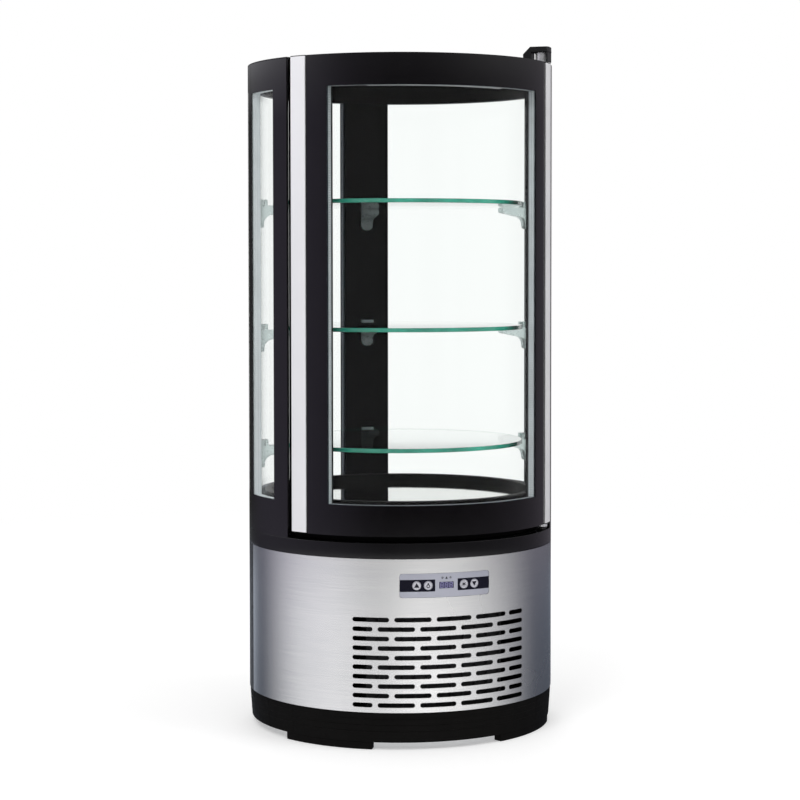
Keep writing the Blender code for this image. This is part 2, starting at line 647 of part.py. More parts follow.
def make_compressor():
    """Welded compressor shell on a plate with four rubber grommets."""
    foot = PAN_TOP + GAP
    plate_bottom = foot + GROMMET_HEIGHT
    plate_top = plate_bottom + MOUNT_PLATE
    radius = COMPRESSOR_RADIUS
    shell = [(0.0, 0.0), (radius * SHELL_BASE_SHARE, 0.0), (radius, SHELL_BASE_HEIGHT)]
    dome = radius * DOME_SHARE
    shoulder = COMPRESSOR_HEIGHT - dome
    for step in range(DOME_STEPS + 1):
        angle = math.radians(90.0 * step / DOME_STEPS)
        shell.append((radius * math.cos(angle), shoulder + dome * math.sin(angle)))
    bm = bmesh.new()
    verts = [bm.verts.new((r, 0.0, level)) for r, level in shell]
    edges = [bm.edges.new(pair) for pair in zip(verts, verts[1:])]
    bmesh.ops.spin(bm, geom=verts + edges, cent=(0, 0, 0), axis=(0, 0, 1),
                   angle=math.tau, steps=SHELL_SEGMENTS, use_merge=True)
    bmesh.ops.remove_doubles(bm, verts=bm.verts[:], dist=1e-5)
    compressor = add_object("compressor", bm, "black_paint")
    compressor.location = (COMPRESSOR_X, COMPRESSOR_Y, plate_top - BITE)
    bpy.context.view_layer.update()
    half_x = radius * MOUNT_LENGTH_SHARE
    half_y = radius * MOUNT_WIDTH_SHARE
    plate = box((COMPRESSOR_X - half_x, COMPRESSOR_Y - half_y, plate_bottom),
                (COMPRESSOR_X + half_x, COMPRESSOR_Y + half_y, plate_top))
    unite(compressor, add_object("plate", plate))
    for side_x in (-1.0, 1.0):
        for side_y in (-1.0, 1.0):
            x = COMPRESSOR_X + side_x * (half_x - GROMMET_RADIUS)
            y = COMPRESSOR_Y + side_y * (half_y - GROMMET_RADIUS)
            grommet = cylinder(GROMMET_RADIUS, (x, y, foot), (x, y, plate_top + GROMMET_PROUD),
                               GROMMET_SEGMENTS)
            unite(compressor, add_object("grommet", grommet))


def smooth_route(points, samples):
    """Points along one smooth curve through the given points."""
    ends = [points[0] * 2.0 - points[1]] + points + [points[-1] * 2.0 - points[-2]]
    route = []
    for index in range(len(points) - 1):
        before, start, end, after = ends[index:index + 4]
        for sample in range(samples):
            t = sample / samples
            route.append(0.5 * (2.0 * start + (end - before) * t
                                + (2.0 * before - 5.0 * start + 4.0 * end - after) * t * t
                                + (3.0 * start - before - 3.0 * end + after) * t ** 3))
    route.append(points[-1])
    return route


def make_refrigerant_line():
    """Copper line from the compressor to the condenser, with the filter drier in it."""
    level = (PAN_TOP + GROMMET_HEIGHT + MOUNT_PLATE
             + COMPRESSOR_HEIGHT * LINE_OUTLET_SHARE)
    start = Vector((COMPRESSOR_X + COMPRESSOR_RADIUS + GAP, COMPRESSOR_Y, level))
    coil_back = -CONDENSER_FRONT + CONDENSER_DEPTH
    end = Vector((CONDENSER_HALF_WIDTH - LINE_INSET, coil_back + GAP, level + LINE_RISE))
    way = end - start
    bends = [start + Vector((x * way.x, y * way.y, z * way.z)) for x, y, z in LINE_BEND_SHARES]
    route = smooth_route([start] + bends + [end], LINE_SAMPLES)
    curve = bpy.data.curves.new("refrigerant_line", "CURVE")
    curve.dimensions = "3D"
    curve.bevel_depth = LINE_RADIUS
    curve.bevel_resolution = 2
    curve.use_fill_caps = True
    spline = curve.splines.new("POLY")
    spline.points.add(len(route) - 1)
    for index, (point, place) in enumerate(zip(spline.points, route)):
        point.co = (*place, 1.0)
        inside = DRIER_START_SHARE <= index / (len(route) - 1) <= DRIER_END_SHARE
        point.radius = DRIER_RADIUS / LINE_RADIUS if inside else 1.0
    curve.materials.append(make_material("refrigerant_line", "copper"))
    line = bpy.data.objects.new("refrigerant_line", curve)
    bpy.context.scene.collection.objects.link(line)


def make_power_inlet():
    """Mains inlet socket behind the rear cover, with its three pins."""
    flange_face = math.sqrt(SHEET_INNER ** 2 - (INLET_WIDTH / 2.0 + INLET_FLANGE) ** 2) - GAP
    flange_back = flange_face - INLET_WALL
    half_width = INLET_WIDTH / 2.0
    half_height = INLET_HEIGHT / 2.0
    inlet = add_object("power_inlet", box(
        (flange_back, -half_width - INLET_FLANGE, -half_height),
        (flange_face, half_width + INLET_FLANGE, half_height)), "black_plastic")
    mouth = CASE_RADIUS - INLET_SHY
    body_half_width = half_width - GAP
    body_half_height = half_height - GAP
    unite(inlet, add_object("body", box(
        (flange_face - INLET_DEPTH, -body_half_width, -body_half_height),
        (mouth, body_half_width, body_half_height))))
    cut(inlet, add_object("socket", box(
        (flange_face - INLET_DEPTH + INLET_WALL, -half_width + INLET_WALL,
         -half_height + INLET_WALL),
        (CASE_RADIUS + OVERCUT, half_width - INLET_WALL, half_height - INLET_WALL))))
    for y, z in ((-INLET_PIN_SPREAD, -INLET_PIN_RISE), (0.0, INLET_PIN_RISE),
                 (INLET_PIN_SPREAD, -INLET_PIN_RISE)):
        pin = box((flange_face - INLET_DEPTH + INLET_WALL - BITE, y - INLET_PIN_HALF_WIDTH,
                   z - INLET_PIN_HALF_HEIGHT),
                  (mouth - INLET_PIN_RECESS, y + INLET_PIN_HALF_WIDTH,
                   z + INLET_PIN_HALF_HEIGHT))
        unite(inlet, add_object("pin", pin))
    aim_outwards(inlet, INLET_DEG, INLET_LEVEL)


def make_evaporator():
    """Evaporator coil and its fan, lying in the floor moulding."""
    bottom = TUB_FLOOR + GAP
    coil = finned_block("evaporator_coil", EVAPORATOR_WIDTH, EVAPORATOR_DEPTH,
                        EVAPORATOR_HEIGHT, "aluminium")
    coil.location = (0.0, EVAPORATOR_BACK - EVAPORATOR_DEPTH, bottom)
    centre_y = EVAPORATOR_BACK - EVAPORATOR_DEPTH - GAP - EVAPORATOR_FRAME_HALF
    frame = fan_frame("evaporator_fan_frame", EVAPORATOR_FAN_RADIUS, EVAPORATOR_FRAME_WALL,
                      "black_plastic")
    rotor = fan_rotor("evaporator_fan", EVAPORATOR_FAN_RADIUS, "black_plastic")
    for piece in (frame, rotor):
        piece.location = (0.0, centre_y, bottom)


# Cabinet: floor, frame, glazing, top

def make_floor():
    """Insulated floor moulding, and the polished plate in it."""
    lower = COLLAR_INNER - LEDGE_DEPTH - GAP
    shoulder_bottom = COLLAR_BOTTOM + LEDGE_HEIGHT + GAP
    rim_inner = LINING - RIM_WIDTH
    seat_inner = rim_inner - FLOOR_SEAT
    seat = FLOOR_LEVEL - FLOOR_PLATE - GAP
    bottom = TUB_FLOOR - TUB_BOTTOM
    outline = [(0.0, bottom), (lower, bottom), (lower, shoulder_bottom),
               (TUB_SHOULDER, shoulder_bottom), (TUB_SHOULDER, COLLAR_TOP),
               (LINING, COLLAR_TOP), (LINING, RIM_TOP), (rim_inner, RIM_TOP),
               (rim_inner, seat), (seat_inner, seat), (seat_inner, TUB_FLOOR), (0.0, TUB_FLOOR)]
    add_object("floor_base", turned(outline), "black_plastic")
    edge = rim_inner - GAP
    plate = [(0.0, seat + GAP), (edge, seat + GAP), (edge, FLOOR_LEVEL), (0.0, FLOOR_LEVEL)]
    add_object("floor_plate", turned(plate), "mirror_steel")


def make_frame():
    """Two side posts, two door jambs and the rear column that hold the glazing."""
    post_start = POST_START_DEG + arc_deg(GAP, CASE_RADIUS)
    post_end = POST_END_DEG - arc_deg(GAP, CASE_RADIUS)
    jamb_inner = LINING - JAMB_THICKNESS
    jamb_start = GASKET_START_DEG - JAMB_LAP_DEG
    jamb_step = SIDE_START_DEG + JAMB_STEP_DEG
    jamb_end = SIDE_START_DEG + JAMB_HOLD_DEG
    for hand, side in ((-1.0, "left"), (1.0, "right")):
        post = [(POST_INNER, hand * post_start), (CASE_RADIUS, hand * post_start),
                (CASE_RADIUS, hand * post_end), (POST_INNER, hand * post_end)]
        add_object("post_" + side, upright(post, GLAZING_BOTTOM, GLAZING_TOP), "black_gloss")
        jamb = [(jamb_inner, hand * jamb_start), (LINING, hand * jamb_start),
                (LINING, hand * jamb_step), (GASKET_OUTER, hand * jamb_step),
                (GASKET_OUTER, hand * jamb_end), (jamb_inner, hand * jamb_end)]
        add_object("jamb_" + side, upright(jamb, RIM_TOP + GAP, CEILING_LEVEL - GAP),
                   "black_plastic")
    half = COLUMN_HALF_DEG - arc_deg(GAP, CASE_RADIUS)
    column = add_object("rear_column", curved_box(POST_INNER, CASE_RADIUS, 180.0 - half,
                                                  180.0 + half, GLAZING_BOTTOM, GLAZING_TOP),
                        "black_gloss")
    duct_half = half - arc_deg(COLUMN_WALL, POST_INNER)
    duct = curved_box(POST_INNER + COLUMN_WALL, CASE_RADIUS - COLUMN_WALL, 180.0 - duct_half,
                      180.0 + duct_half, GLAZING_BOTTOM - OVERCUT, GLAZING_TOP + OVERCUT)
    cut(column, add_object("duct", duct))


def make_fixed_glazing():
    """Side and rear units: an outer pane, and an inner pane that carries the spacer frame."""
    clear = 2.0 * arc_deg(GAP, CASE_RADIUS)
    column_edge = 180.0 - COLUMN_HALF_DEG
    window_bottom = WINDOW_BOTTOM - SPACER_WIDTH
    window_top = WINDOW_TOP + SPACER_WIDTH
    bar_deg = arc_deg(SPACER_WIDTH, SPACER_OUTER)
    units = {"side": (SIDE_START_DEG, POST_START_DEG - clear, SIDE_WINDOW_DEG - bar_deg),
             "rear": (POST_END_DEG + clear, column_edge - clear, POST_END_DEG + clear)}
    for place, (start, end, spacer_start) in units.items():
        for hand, side in ((-1.0, "left"), (1.0, "right")):
            low, high = sorted((hand * start, hand * end))
            add_object(place + "_outer_pane_" + side,
                       curved_box(PANE_INNER, CASE_RADIUS, low, high,
                                  GLAZING_BOTTOM, GLAZING_TOP), "clear_glass")
            inner = add_object(place + "_inner_pane_" + side,
                               curved_box(UNIT_INNER, INNER_PANE_OUTER, low, high,
                                          GLAZING_BOTTOM, GLAZING_TOP), "clear_glass")
            low, high = sorted((hand * spacer_start, hand * end))
            spacer = curved_frame("spacer", INNER_PANE_OUTER - BITE, SPACER_OUTER,
                                  (low, high, window_bottom, window_top), SPACER_WIDTH, None)
            unite(inner, spacer)


def make_top():
    """Insulated lid with a flange over the fixed glazing, the ceiling panel and its lamp."""
    ceiling_top = CEILING_LEVEL + CEILING_PANEL
    body_bottom = ceiling_top + GAP
    body = [(0.0, body_bottom), (LINING, body_bottom), (LINING, CASE_TOP), (0.0, CASE_TOP)]
    lid = add_object("top_cover", turned(body), "black_paint")
    flange = curved_box(LINING - BITE, CASE_RADIUS, SIDE_START_DEG, 360.0 - SIDE_START_DEG,
                        CASE_TOP - LID_FLANGE, CASE_TOP)
    unite(lid, add_object("flange", flange))
    panel = [(0.0, CEILING_LEVEL), (LINING, CEILING_LEVEL), (LINING, ceiling_top),
             (0.0, ceiling_top)]
    add_object("ceiling_panel", turned(panel), "black_gloss")
    lamp_outer = LINING - LAMP_SETBACK
    lamp_top = CEILING_LEVEL - GAP
    add_object("led_lamp", curved_box(lamp_outer - LAMP_WIDTH, lamp_outer, -LAMP_HALF_DEG,
                                      LAMP_HALF_DEG, lamp_top - LAMP_HEIGHT, lamp_top),
               "lamp_cover")


# Door and its hinges

def edge_profile(hand):
    """Plan of an aluminium edge strip: a block beside the panes with a lip over the glass."""
    face = CASE_RADIUS + STRIP_PROUD
    lip_back = CASE_RADIUS + GAP
    start = DOOR_HALF_DEG - STRIP_WIDTH_DEG
    block = start + STRIP_LIP_DEG
    corner_deg = arc_deg(STRIP_CORNER, face)
    plan = [(UNIT_INNER, block), (lip_back, block), (lip_back, start), (face, start)]
    for step in range(CORNER_STEPS + 1):
        angle = math.radians(90.0 - 90.0 * step / CORNER_STEPS)
        radius = face - STRIP_CORNER * (1.0 - math.sin(angle))
        turn = DOOR_HALF_DEG - corner_deg * (1.0 - math.cos(angle))
        plan.append((radius, turn))
    plan.append((UNIT_INNER, DOOR_HALF_DEG))
    return [(radius, hand * angle) for radius, angle in plan]


def make_door():
    """Curved glass door: two panes, spacer, two edge strips and a gasket."""
    pane_half = (DOOR_HALF_DEG - STRIP_WIDTH_DEG + STRIP_LIP_DEG
                 - arc_deg(2.0 * GAP, CASE_RADIUS))
    outer = add_object("door_outer_pane", curved_box(
        PANE_INNER, CASE_RADIUS, -pane_half, pane_half, DOOR_BOTTOM, CASE_TOP), "clear_glass")
    inner = add_object("door_inner_pane", curved_box(
        UNIT_INNER, INNER_PANE_OUTER, -pane_half, pane_half, DOOR_BOTTOM, CASE_TOP),
        "clear_glass")
    spacer_half = DOOR_WINDOW_DEG + arc_deg(SPACER_WIDTH, SPACER_OUTER)
    spacer = curved_frame("door_spacer", INNER_PANE_OUTER + GAP, SPACER_OUTER,
                          (-spacer_half, spacer_half, WINDOW_BOTTOM - SPACER_WIDTH,
                           WINDOW_TOP + SPACER_WIDTH), SPACER_WIDTH, "aluminium")
    gasket_half = GASKET_START_DEG + arc_deg(GASKET_WIDTH, GASKET_OUTER)
    gasket = curved_frame("door_gasket", POST_INNER, GASKET_OUTER,
                          (-gasket_half, gasket_half, DOOR_BOTTOM + GASKET_MARGIN,
                           CASE_TOP - GASKET_MARGIN), GASKET_WIDTH, "black_rubber")
    handle = add_object("handle_profile", upright(edge_profile(-1.0), DOOR_BOTTOM, CASE_TOP),
                        "aluminium")
    hinge_side = add_object("hinge_profile", upright(edge_profile(1.0), DOOR_BOTTOM, CASE_TOP),
                            "aluminium")
    axis = polar(HINGE_RADIUS, HINGE_DEG)
    bore = PIN_RADIUS + RUNNING_GAP
    for mouth, depth in ((DOOR_BOTTOM, PIN_DEPTH), (CASE_TOP, -PIN_DEPTH)):
        over = math.copysign(OVERCUT, depth)
        hole = cylinder(bore, (axis.x, axis.y, mouth - over),
                        (axis.x, axis.y, mouth + depth + math.copysign(GAP, depth)))
        cut(hinge_side, add_object("pin_hole", hole))
    hang_on((outer, inner, spacer, gasket, handle, hinge_side), "door_hinge_axis",
            (axis.x, axis.y, DOOR_BOTTOM))


def make_hinges():
    """Cast bracket and stepped pin at the top of the door, plate and pin at the bottom."""
    axis = polar(HINGE_RADIUS, HINGE_DEG)
    foot_bottom = CASE_TOP + GAP
    plate_bottom = CASE_TOP + BUSH_HEIGHT
    plate_top = plate_bottom + HINGE_PLATE
    reach = HINGE_RADIUS + HINGE_PLATE_REACH
    leg_outer = LINING
    leg_inner = leg_outer - HINGE_LEG
    foot_end = leg_outer - HINGE_FOOT_LENGTH
    skirt = HINGE_RADIUS + BUSH_RADIUS + GAP
    skirt_bottom = foot_bottom + HINGE_SKIRT_GAP
    outline = [(foot_end, foot_bottom), (leg_outer, foot_bottom), (leg_outer, plate_bottom),
               (skirt, plate_bottom), (skirt, skirt_bottom),
               (skirt + HINGE_SKIRT, skirt_bottom), (skirt + HINGE_SKIRT, plate_bottom),
               (reach, plate_bottom), (reach, plate_top), (leg_inner + HINGE_SLOPE, plate_top),
               (leg_inner, plate_top - HINGE_SLOPE), (leg_inner, foot_bottom + HINGE_FOOT),
               (foot_end, foot_bottom + HINGE_FOOT)]
    bracket = add_object("hinge_bracket_top", radial_plate(outline, HINGE_PLATE_WIDTH),
                         "black_paint")
    aim_outwards(bracket, HINGE_DEG)
    hole = cylinder(PIN_RADIUS + GAP, (axis.x, axis.y, plate_bottom - OVERCUT),
                    (axis.x, axis.y, plate_top + OVERCUT))
    cut(bracket, add_object("hole", hole))
    top_pin = add_object("hinge_pin_top", cylinder(
        PIN_RADIUS, (axis.x, axis.y, CASE_TOP - PIN_DEPTH), (axis.x, axis.y, plate_top)), "chrome")
    bush = cylinder(BUSH_RADIUS, (axis.x, axis.y, CASE_TOP + RUNNING_GAP),
                    (axis.x, axis.y, plate_bottom - GAP))
    unite(top_pin, add_object("bush", bush))
    lower_bottom = COLLAR_TOP + GAP
    lower_top = lower_bottom + HINGE_FOOT
    lower_outer = CASE_RADIUS - HINGE_FOOT
    lower = [(POST_INNER, lower_bottom), (lower_outer, lower_bottom),
             (lower_outer, lower_top), (POST_INNER, lower_top)]
    plate = add_object("hinge_bracket_bottom", radial_plate(lower, HINGE_PLATE_WIDTH),
                       "black_paint")
    aim_outwards(plate, HINGE_DEG)
    hole = cylinder(PIN_RADIUS + GAP, (axis.x, axis.y, lower_bottom - OVERCUT),
                    (axis.x, axis.y, lower_top + OVERCUT))
    cut(plate, add_object("hole", hole))
    low_pin = add_object("hinge_pin_bottom", cylinder(
        PIN_RADIUS, (axis.x, axis.y, lower_bottom), (axis.x, axis.y, DOOR_BOTTOM + PIN_DEPTH)),
        "chrome")
    bush = cylinder(BUSH_RADIUS, (axis.x, axis.y, lower_top + GAP),
                    (axis.x, axis.y, DOOR_BOTTOM - RUNNING_GAP))
    unite(low_pin, add_object("bush", bush))


# Control panel

def make_controls():
    """Silver fascia flush in the front sheet, with its display and four push buttons."""
    half_height = CONTROL_HEIGHT / 2.0
    face = CASE_RADIUS - CONTROL_SHY
    back = face - CONTROL_DEPTH
    plug_half = CONTROL_HALF_DEG - arc_deg(GAP, CASE_RADIUS)
    fascia = add_object("control_fascia", curved_box(
        back, face, -plug_half, plug_half, CONTROL_LEVEL - half_height + GAP,
        CONTROL_LEVEL + half_height - GAP), "silver_film")
    flange_half = CONTROL_HALF_DEG + arc_deg(CONTROL_FLANGE, CASE_RADIUS)
    flange = curved_box(back, SHEET_INNER - GAP, -flange_half, flange_half,
                        CONTROL_LEVEL - half_height - CONTROL_FLANGE,
                        CONTROL_LEVEL + half_height + CONTROL_FLANGE)
    unite(fascia, add_object("flange", flange))
    display_half = DISPLAY_HEIGHT / 2.0
    lens_deg = DISPLAY_HALF_DEG - arc_deg(GAP, CASE_RADIUS)
    recess = curved_box(face - DISPLAY_DEPTH, CASE_RADIUS + OVERCUT, -DISPLAY_HALF_DEG,
                        DISPLAY_HALF_DEG, CONTROL_LEVEL - display_half,
                        CONTROL_LEVEL + display_half)
    cut(fascia, add_object("recess", recess))
    add_object("display_window", curved_box(
        face - DISPLAY_DEPTH + GAP, face, -lens_deg, lens_deg,
        CONTROL_LEVEL - display_half + GAP, CONTROL_LEVEL + display_half - GAP), "display")
    buttons = {"button_up": -BUTTON_OUTER_DEG, "button_lamp": -BUTTON_INNER_DEG,
               "button_defrost": BUTTON_INNER_DEG, "button_down": BUTTON_OUTER_DEG}
    for name, angle in buttons.items():
        hole = cylinder(BUTTON_RADIUS + RUNNING_GAP, polar(back - OVERCUT, angle, CONTROL_LEVEL),
                        polar(CASE_RADIUS + OVERCUT, angle, CONTROL_LEVEL), BUTTON_SEGMENTS)
        cut(fascia, add_object("button_hole", hole))
        make_button(name, angle, back, face)


def make_button(name, angle_deg, back, face):
    """Push button: a round cap with a wider collar behind the fascia. Its +X points outwards."""
    collar_radius = BUTTON_RADIUS + BUTTON_COLLAR
    collar_front = math.sqrt(back ** 2 - collar_radius ** 2) - GAP
    collar_back = collar_front - BUTTON_COLLAR_LENGTH
    button = add_object(name, cylinder(BUTTON_RADIUS, (collar_back - back, 0, 0),
                                       (face - back, 0, 0), BUTTON_SEGMENTS), "silver_plastic")
    collar = cylinder(collar_radius, (collar_back - back, 0, 0), (collar_front - back, 0, 0),
                      BUTTON_SEGMENTS)
    unite(button, add_object("collar", collar))
    button.rotation_euler = (0.0, 0.0, math.radians(angle_deg - 90.0))
    button.location = polar(back, angle_deg, CONTROL_LEVEL)


# Shelves

def bracket_mesh():
    """Shelf bracket: leg against the post, tapered arm, lug outside the shelf's edge.

    Side view in x (outwards) and z, with z = 0 at the arm's top face.
    """
    facet_inner = POST_INNER * math.cos(math.radians(ARC_STEP_DEG / 2.0))
    wall = math.sqrt(facet_inner ** 2 - (BRACKET_WIDTH / 2.0) ** 2) - GAP
    tip = wall - BRACKET_REACH
    leg = wall - BRACKET_LEG
    lug_inner = SHELF_RADIUS + GAP
    lug_outer = lug_inner + BRACKET_LUG_WIDTH
    nose = BRACKET_NOSE
    outline = [(wall, BRACKET_LUG), (leg, BRACKET_LUG), (leg, -BRACKET_GROOVE),
               (lug_outer, -BRACKET_GROOVE), (lug_outer, BRACKET_LUG), (lug_inner, BRACKET_LUG),
               (lug_inner, 0.0), (tip + nose, 0.0)]
    for step in range(1, CORNER_STEPS + 1):
        angle = math.radians(90.0 + 90.0 * step / CORNER_STEPS)
        outline.append((tip + nose + nose * math.cos(angle), -nose + nose * math.sin(angle)))
    outline.append((tip, -BRACKET_ARM + nose))
    outline.append((tip + nose, -BRACKET_ARM))
    for step in range(BEND_STEPS + 1):
        angle = math.radians(90.0 * step / BEND_STEPS)
        x = leg - BRACKET_BEND * (1.0 - math.sin(angle))
        z = -BRACKET_ROOT - BRACKET_BEND * (1.0 - math.cos(angle))
        outline.append((x, z))
    outline.append((leg, -BRACKET_DROP))
    outline.append((wall, -BRACKET_DROP))
    bracket = add_object("bracket", radial_plate(outline, BRACKET_WIDTH), "frosted_plastic")
    radius = BRACKET_WIDTH / 2.0
    reach = radius + OVERCUT
    for low_y, high_y in ((-reach, 0.0), (0.0, reach)):
        corner = box((tip - OVERCUT, low_y, -BRACKET_DROP - OVERCUT),
                     (wall + OVERCUT, high_y, -BRACKET_DROP + radius))
        corner_tool = add_object("corner", corner)
        keep = cylinder(radius, (tip - 2.0 * OVERCUT, 0, -BRACKET_DROP + radius),
                        (wall + 2.0 * OVERCUT, 0, -BRACKET_DROP + radius))
        cut(corner_tool, add_object("keep", keep))
        cut(bracket, corner_tool)
    mesh = bracket.data
    bpy.data.objects.remove(bracket, do_unlink=True)
    return mesh


def make_shelves():
    """Three round glass shelves, each on a bracket at both posts and the rear column."""
    post_middle = (POST_START_DEG + POST_END_DEG) / 2.0
    mesh = bracket_mesh()
    places = {"left": -post_middle, "right": post_middle, "rear": 180.0}
    for number, level in enumerate(SHELF_LEVELS, start=1):
        top = level + SHELF_THICKNESS
        outline = [(0.0, level), (SHELF_RADIUS, level), (SHELF_RADIUS, top), (0.0, top)]
        add_object("shelf_%d" % number, turned(outline), "green_glass")
        for place, angle in places.items():
            bracket = bpy.data.objects.new("shelf_%d_bracket_%s" % (number, place), mesh)
            bpy.context.scene.collection.objects.link(bracket)
            aim_outwards(bracket, angle, level - GAP)


def main():
    clear_scene()
    make_plinth()
    make_base_pan()
    make_sheets()
    make_collar()
    make_condenser()
    make_compressor()
    make_refrigerant_line()
    make_power_inlet()
    make_evaporator()
    make_floor()
    make_frame()
    make_fixed_glazing()
    make_top()
    make_door()
    make_hinges()
    make_controls()
    make_shelves()


main()
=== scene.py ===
"""Looks of the round refrigerated display case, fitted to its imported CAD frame.

Metres, +Z up. Angles round the case are in degrees from its front (-Y) towards its right (+X).
"""
import json
import math
from collections import namedtuple

import bmesh
import bpy
from mathutils import Matrix
from mathutils import Vector


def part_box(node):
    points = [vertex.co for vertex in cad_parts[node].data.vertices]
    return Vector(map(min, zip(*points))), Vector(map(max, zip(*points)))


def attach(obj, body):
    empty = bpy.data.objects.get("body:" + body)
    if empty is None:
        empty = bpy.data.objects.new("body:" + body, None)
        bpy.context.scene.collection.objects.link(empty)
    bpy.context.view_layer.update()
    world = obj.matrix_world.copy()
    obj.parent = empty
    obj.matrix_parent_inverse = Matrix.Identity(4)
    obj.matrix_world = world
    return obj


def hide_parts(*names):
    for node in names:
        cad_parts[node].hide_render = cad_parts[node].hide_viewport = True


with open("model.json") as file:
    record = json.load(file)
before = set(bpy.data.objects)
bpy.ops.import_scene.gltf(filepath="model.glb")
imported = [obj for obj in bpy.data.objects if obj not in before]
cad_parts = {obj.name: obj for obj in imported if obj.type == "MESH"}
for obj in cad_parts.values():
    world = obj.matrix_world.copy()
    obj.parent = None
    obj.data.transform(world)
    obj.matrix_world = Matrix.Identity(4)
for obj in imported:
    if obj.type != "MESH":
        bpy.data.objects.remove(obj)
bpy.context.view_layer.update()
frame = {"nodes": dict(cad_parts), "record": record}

# Fineness
STEP_DEG = 1.25              # facets of large round pieces
SHARP_DEG = 35.0             # edges sharper than this look sharp, or are rounded
SLOT_STEPS = 8               # facets of a slot's round end
WALL_SPAN = 5e-5             # faces whose corners' radii differ less lie in a wall
TINY = 1e-6

# Sizes that the frame's boxes don't give
CLEAR = 0.0003               # gap between neighbours
SPACER_WIDTH = 0.008
DOOR_BAR = 0.0041            # upright bars of the door's spacer
SIDE_BORDER_DEG = 8.0        # print at the front of a side pane
FILM = 0.0002                # thickness of the print behind a pane
FILM_SETBACK = 0.00005

SIDES = ((-1.0, "left"), (1.0, "right"))
UP = Vector((0, 0, 1))
Ring = namedtuple("Ring", "inner outer start end bottom top")


def polar(radius, angle_deg, level=0.0):
    angle = math.radians(angle_deg)
    return Vector((radius * math.sin(angle), -radius * math.cos(angle), level))


def arc_deg(length, radius):
    return math.degrees(length / radius)


def ring_of(node, about=0.0):
    """Radii, angles and levels that a CAD node spans; about is an angle inside it."""
    points = [vert.co for vert in frame["nodes"][node].data.vertices]
    radii = [point.xy.length for point in points]
    levels = [point.z for point in points]
    turns = []
    for point in points:
        if point.xy.length > 1e-3:
            turn = math.degrees(math.atan2(point.x, -point.y)) - about
            turns.append((turn + 180.0) % 360.0 - 180.0 + about)
    return Ring(min(radii), max(radii), min(turns), max(turns), min(levels), max(levels))


BODY_OF = {node: body for body, nodes in frame["record"]["behaviour"]["bodies"].items()
           for node in nodes}

PLINTH = ring_of("plinth_ring")
WRAP = ring_of("front_wrap")
REAR = ring_of("rear_cover", 180.0)
COLLAR = ring_of("collar_ring")
FLOOR_BASE = ring_of("floor_base")
FLOOR_PLATE = ring_of("floor_plate")
DOOR_PANE = ring_of("door_outer_pane")
DOOR_INNER = ring_of("door_inner_pane")
DOOR_SPACER = ring_of("door_spacer")
GASKET = ring_of("door_gasket")
STRIP = ring_of("hinge_profile", 56.0)
SIDE_PANE = ring_of("side_outer_pane_right", 76.0)
REAR_PANE = ring_of("rear_outer_pane_right", 134.0)
POST = ring_of("post_right", 95.0)
JAMB = ring_of("jamb_right", 56.0)
COLUMN = ring_of("rear_column", 180.0)
CEILING = ring_of("ceiling_panel")
LAMP = ring_of("led_lamp")
LID = ring_of("top_cover")
FASCIA = ring_of("control_fascia")
DISPLAY = ring_of("display_window")

CASE_RADIUS = COLLAR.outer
UNIT_INNER = DOOR_INNER.inner
LINING = CEILING.outer
CASE_TOP = DOOR_PANE.top
WINDOW_DEG = DOOR_SPACER.end - arc_deg(DOOR_BAR, DOOR_SPACER.outer)
WINDOW_BOTTOM = DOOR_SPACER.bottom + SPACER_WIDTH
WINDOW_TOP = DOOR_SPACER.top - SPACER_WIDTH


def case_deg(length):
    return arc_deg(length, CASE_RADIUS)


# Outlines

def box(left, right, bottom, top):
    return [(left, bottom), (right, bottom), (right, top), (left, top)]


def turned(plan, hand):
    """Plan of (radius, angle) corners on the left (-1) or right (1) side of the case."""
    return [(radius, hand * angle) for radius, angle in plan]


def span(hand, start, end):
    """Two angles on one side of the case, the lower one first."""
    return sorted((hand * start, hand * end))


def arc(centre, radii, start, end, steps):
    """Points of an elliptic arc, with both its ends."""
    points = []
    for step in range(steps + 1):
        angle = math.radians(start + (end - start) * step / steps)
        points.append((centre[0] + radii[0] * math.cos(angle),
                       centre[1] + radii[1] * math.sin(angle)))
    return points


def circle(radius, count, centre=(0.0, 0.0)):
    return arc(centre, (radius, radius), 0.0, 360.0, count)[:-1]


def fillet(outline, radius, steps=2):
    """Round the corners of a closed outline of pairs, but not those on the axis."""
    rounded = []
    for index, pair in enumerate(outline):
        corner = Vector(pair)
        if corner.x < TINY:
            rounded.append(pair)
            continue
        before = Vector(outline[index - 1]) - corner
        after = Vector(outline[(index + 1) % len(outline)]) - corner
        reach = min(radius, 0.45 * before.length, 0.45 * after.length)
        first = corner + before.normalized() * reach
        last = corner + after.normalized() * reach
        for step in range(steps + 1):
            t = step / steps
            point = first * (1 - t) ** 2 + corner * 2 * t * (1 - t) + last * t * t
            rounded.append(tuple(point))
    return rounded


def box_loop(start, end, bottom, top, corner, steps=4, radius=CASE_RADIUS):
    """Loop of (angle, level) points round a box in a wall, with round corners."""
    shift = 10.0                 # keeps the corners off the axis for fillet
    flat = [(shift + math.radians(angle) * radius, level)
            for angle, level in box(start, end, bottom, top)]
    return [(arc_deg(x - shift, radius), level) for x, level in fillet(flat, corner, steps)]


def slot_loop(middle, level, half_deg, height):
    """Loop of a round-ended slot in the case's wall."""
    end = height / 2.0
    loop = []
    for side in (1.0, -1.0):
        for step in range(SLOT_STEPS + 1):
            angle = math.radians(-90.0 + 180.0 * step / SLOT_STEPS)
            reach = math.radians(half_deg) * CASE_RADIUS - end + end * math.cos(angle)
            loop.append((middle + side * case_deg(reach), level + side * end * math.sin(angle)))
    return loop


